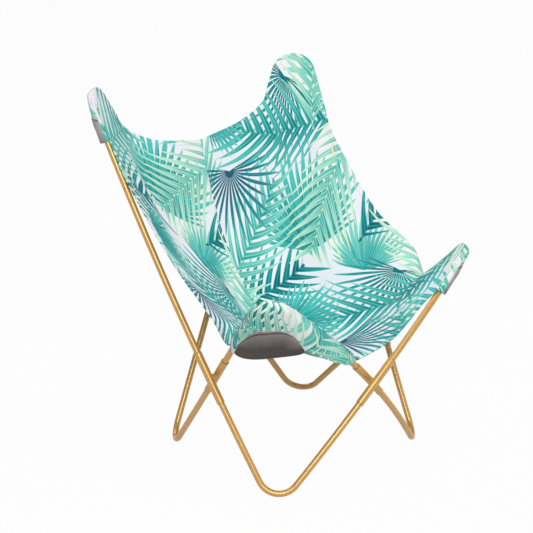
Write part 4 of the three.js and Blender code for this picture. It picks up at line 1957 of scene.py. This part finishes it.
@dataclass(frozen=True)
class Studio:
    """Floor, soft lights and the camera at the photograph's place."""

    azimuth: float = -42.16
    elevation: float = 18.90
    distance: float = 4.571
    target: tuple = (-0.093, 0.084, 0.443)
    focal_pixels: float = 1902.6
    centre_shift: tuple = (-28.6, 1.3)
    sensor: float = 36.0
    floor_half: float = 30.0
    floor_colour: tuple = (0.5, 0.5, 0.5, 1.0)
    floor_glow: float = 0.97
    surround: float = 0.3
    aim: tuple = (0.0, 0.0, 0.4)

    def camera(self, move: Array) -> None:
        """Places the camera.

        Args:
            move: how far the chair was moved to the middle of its plan.
        """
        data = bpy.data.cameras.new("camera")
        data.sensor_width = self.sensor
        data.lens = self.focal_pixels / IMAGE_SIDE * self.sensor
        data.shift_x = -self.centre_shift[0] / IMAGE_SIDE
        data.shift_y = self.centre_shift[1] / IMAGE_SIDE
        camera = bpy.data.objects.new("camera", data)
        a, e = math.radians(self.azimuth), math.radians(self.elevation)
        direction = Vector((math.sin(a) * math.cos(e), -math.cos(a) * math.cos(e), math.sin(e)))
        camera.location = Vector(self.target) + Vector(move) + direction * self.distance
        camera.rotation_euler = direction.to_track_quat("Z", "Y").to_euler()
        bpy.context.scene.collection.objects.link(camera)
        bpy.context.scene.camera = camera

    @staticmethod
    def _seen(graph: Graph, *kinds: str) -> Socket:
        """One for rays of the named kinds, else zero.

        Args:
            graph: the material's or world's graph.
            kinds: names of kinds of ray.

        Returns:
            The value socket.
        """
        rays = graph.node("ShaderNodeLightPath").outputs
        seen = rays[f"Is {kinds[0]} Ray"]
        for kind in kinds[1:]:
            seen = graph.most(seen, rays[f"Is {kind} Ray"])
        return seen

    def floor(self) -> None:
        """A wide pale floor that the camera sees nearly white, with the chair's shadow on it."""
        corners = np.array([[-1, -1, 0], [1, -1, 0], [1, 1, 0], [-1, 1, 0]]) * self.floor_half
        material = bpy.data.materials.new("pale floor")
        material.use_nodes = True
        graph = Graph(material.node_tree)
        material.node_tree.nodes.clear()
        diffuse = graph.node("ShaderNodeBsdfDiffuse")
        diffuse.inputs["Color"].default_value = self.floor_colour
        seen = self._seen(graph, "Camera", "Glossy", "Transmission")
        blend = graph.node("ShaderNodeMixShader")
        graph.feed(blend.inputs[0], graph.times(seen, self.floor_glow))
        graph.feed(blend.inputs[1], diffuse.outputs[0])
        graph.feed(blend.inputs[2], graph.node("ShaderNodeEmission").outputs[0])
        output = graph.node("ShaderNodeOutputMaterial")
        graph.feed(output.inputs["Surface"], blend.outputs[0])
        floor = new_piece("floor", corners, [[0, 1, 2, 3]], material)

    def lights(self) -> None:
        """A surround that is white to the camera and dimmer as a light, and four soft boxes."""
        world = bpy.data.worlds.new("white surround")
        bpy.context.scene.world = world
        world.use_nodes = True
        graph = Graph(world.node_tree)
        back = world.node_tree.nodes["Background"]
        seen = graph.times(self._seen(graph, "Camera", "Transmission"), 1 - self.surround)
        graph.feed(back.inputs["Strength"], graph.plus(self.surround, seen))
        back.inputs["Color"].default_value = (1.0, 1.0, 1.0, 1.0)
        for box in SOFT_BOXES:
            data = bpy.data.lights.new(box.name, "AREA")
            data.energy = box.power
            data.size = box.side
            lamp = bpy.data.objects.new(box.name, data)
            lamp.location = box.place
            away = Vector(box.place) - Vector(self.aim)
            lamp.rotation_euler = away.to_track_quat("Z", "Y").to_euler()
            bpy.context.scene.collection.objects.link(lamp)


def main() -> None:
    """Loads the frame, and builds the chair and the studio."""
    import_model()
    bpy.context.scene.view_settings.view_transform = "Standard"
    grain = FineGrain().build()
    frame = TubeFrame(GoldPaint().build(grain))
    frame.build()
    sling = Sling(
        frame,
        canvas=PrintedCanvas().build(leaf_print(), PlainWeave().build()),
        coated=CoatedCloth().build(grain),
        binding=CoatedCloth("pale binding", "c9c3c0", "b4aeab", 0.45, 0.1).build(grain),
        thread=CoatedCloth("sewing thread", "d9d8d6", "c8c7c4", 0.6, 0.0).build(grain),
        dark_thread=CoatedCloth("dark thread", "2e2826", "3a3331", 0.5, 0.0).build(grain),
    )
    sling.build()
    studio = Studio()
    studio.floor()
    studio.lights()
    studio.camera(frame.move)


if __name__ == "__main__":
    main()
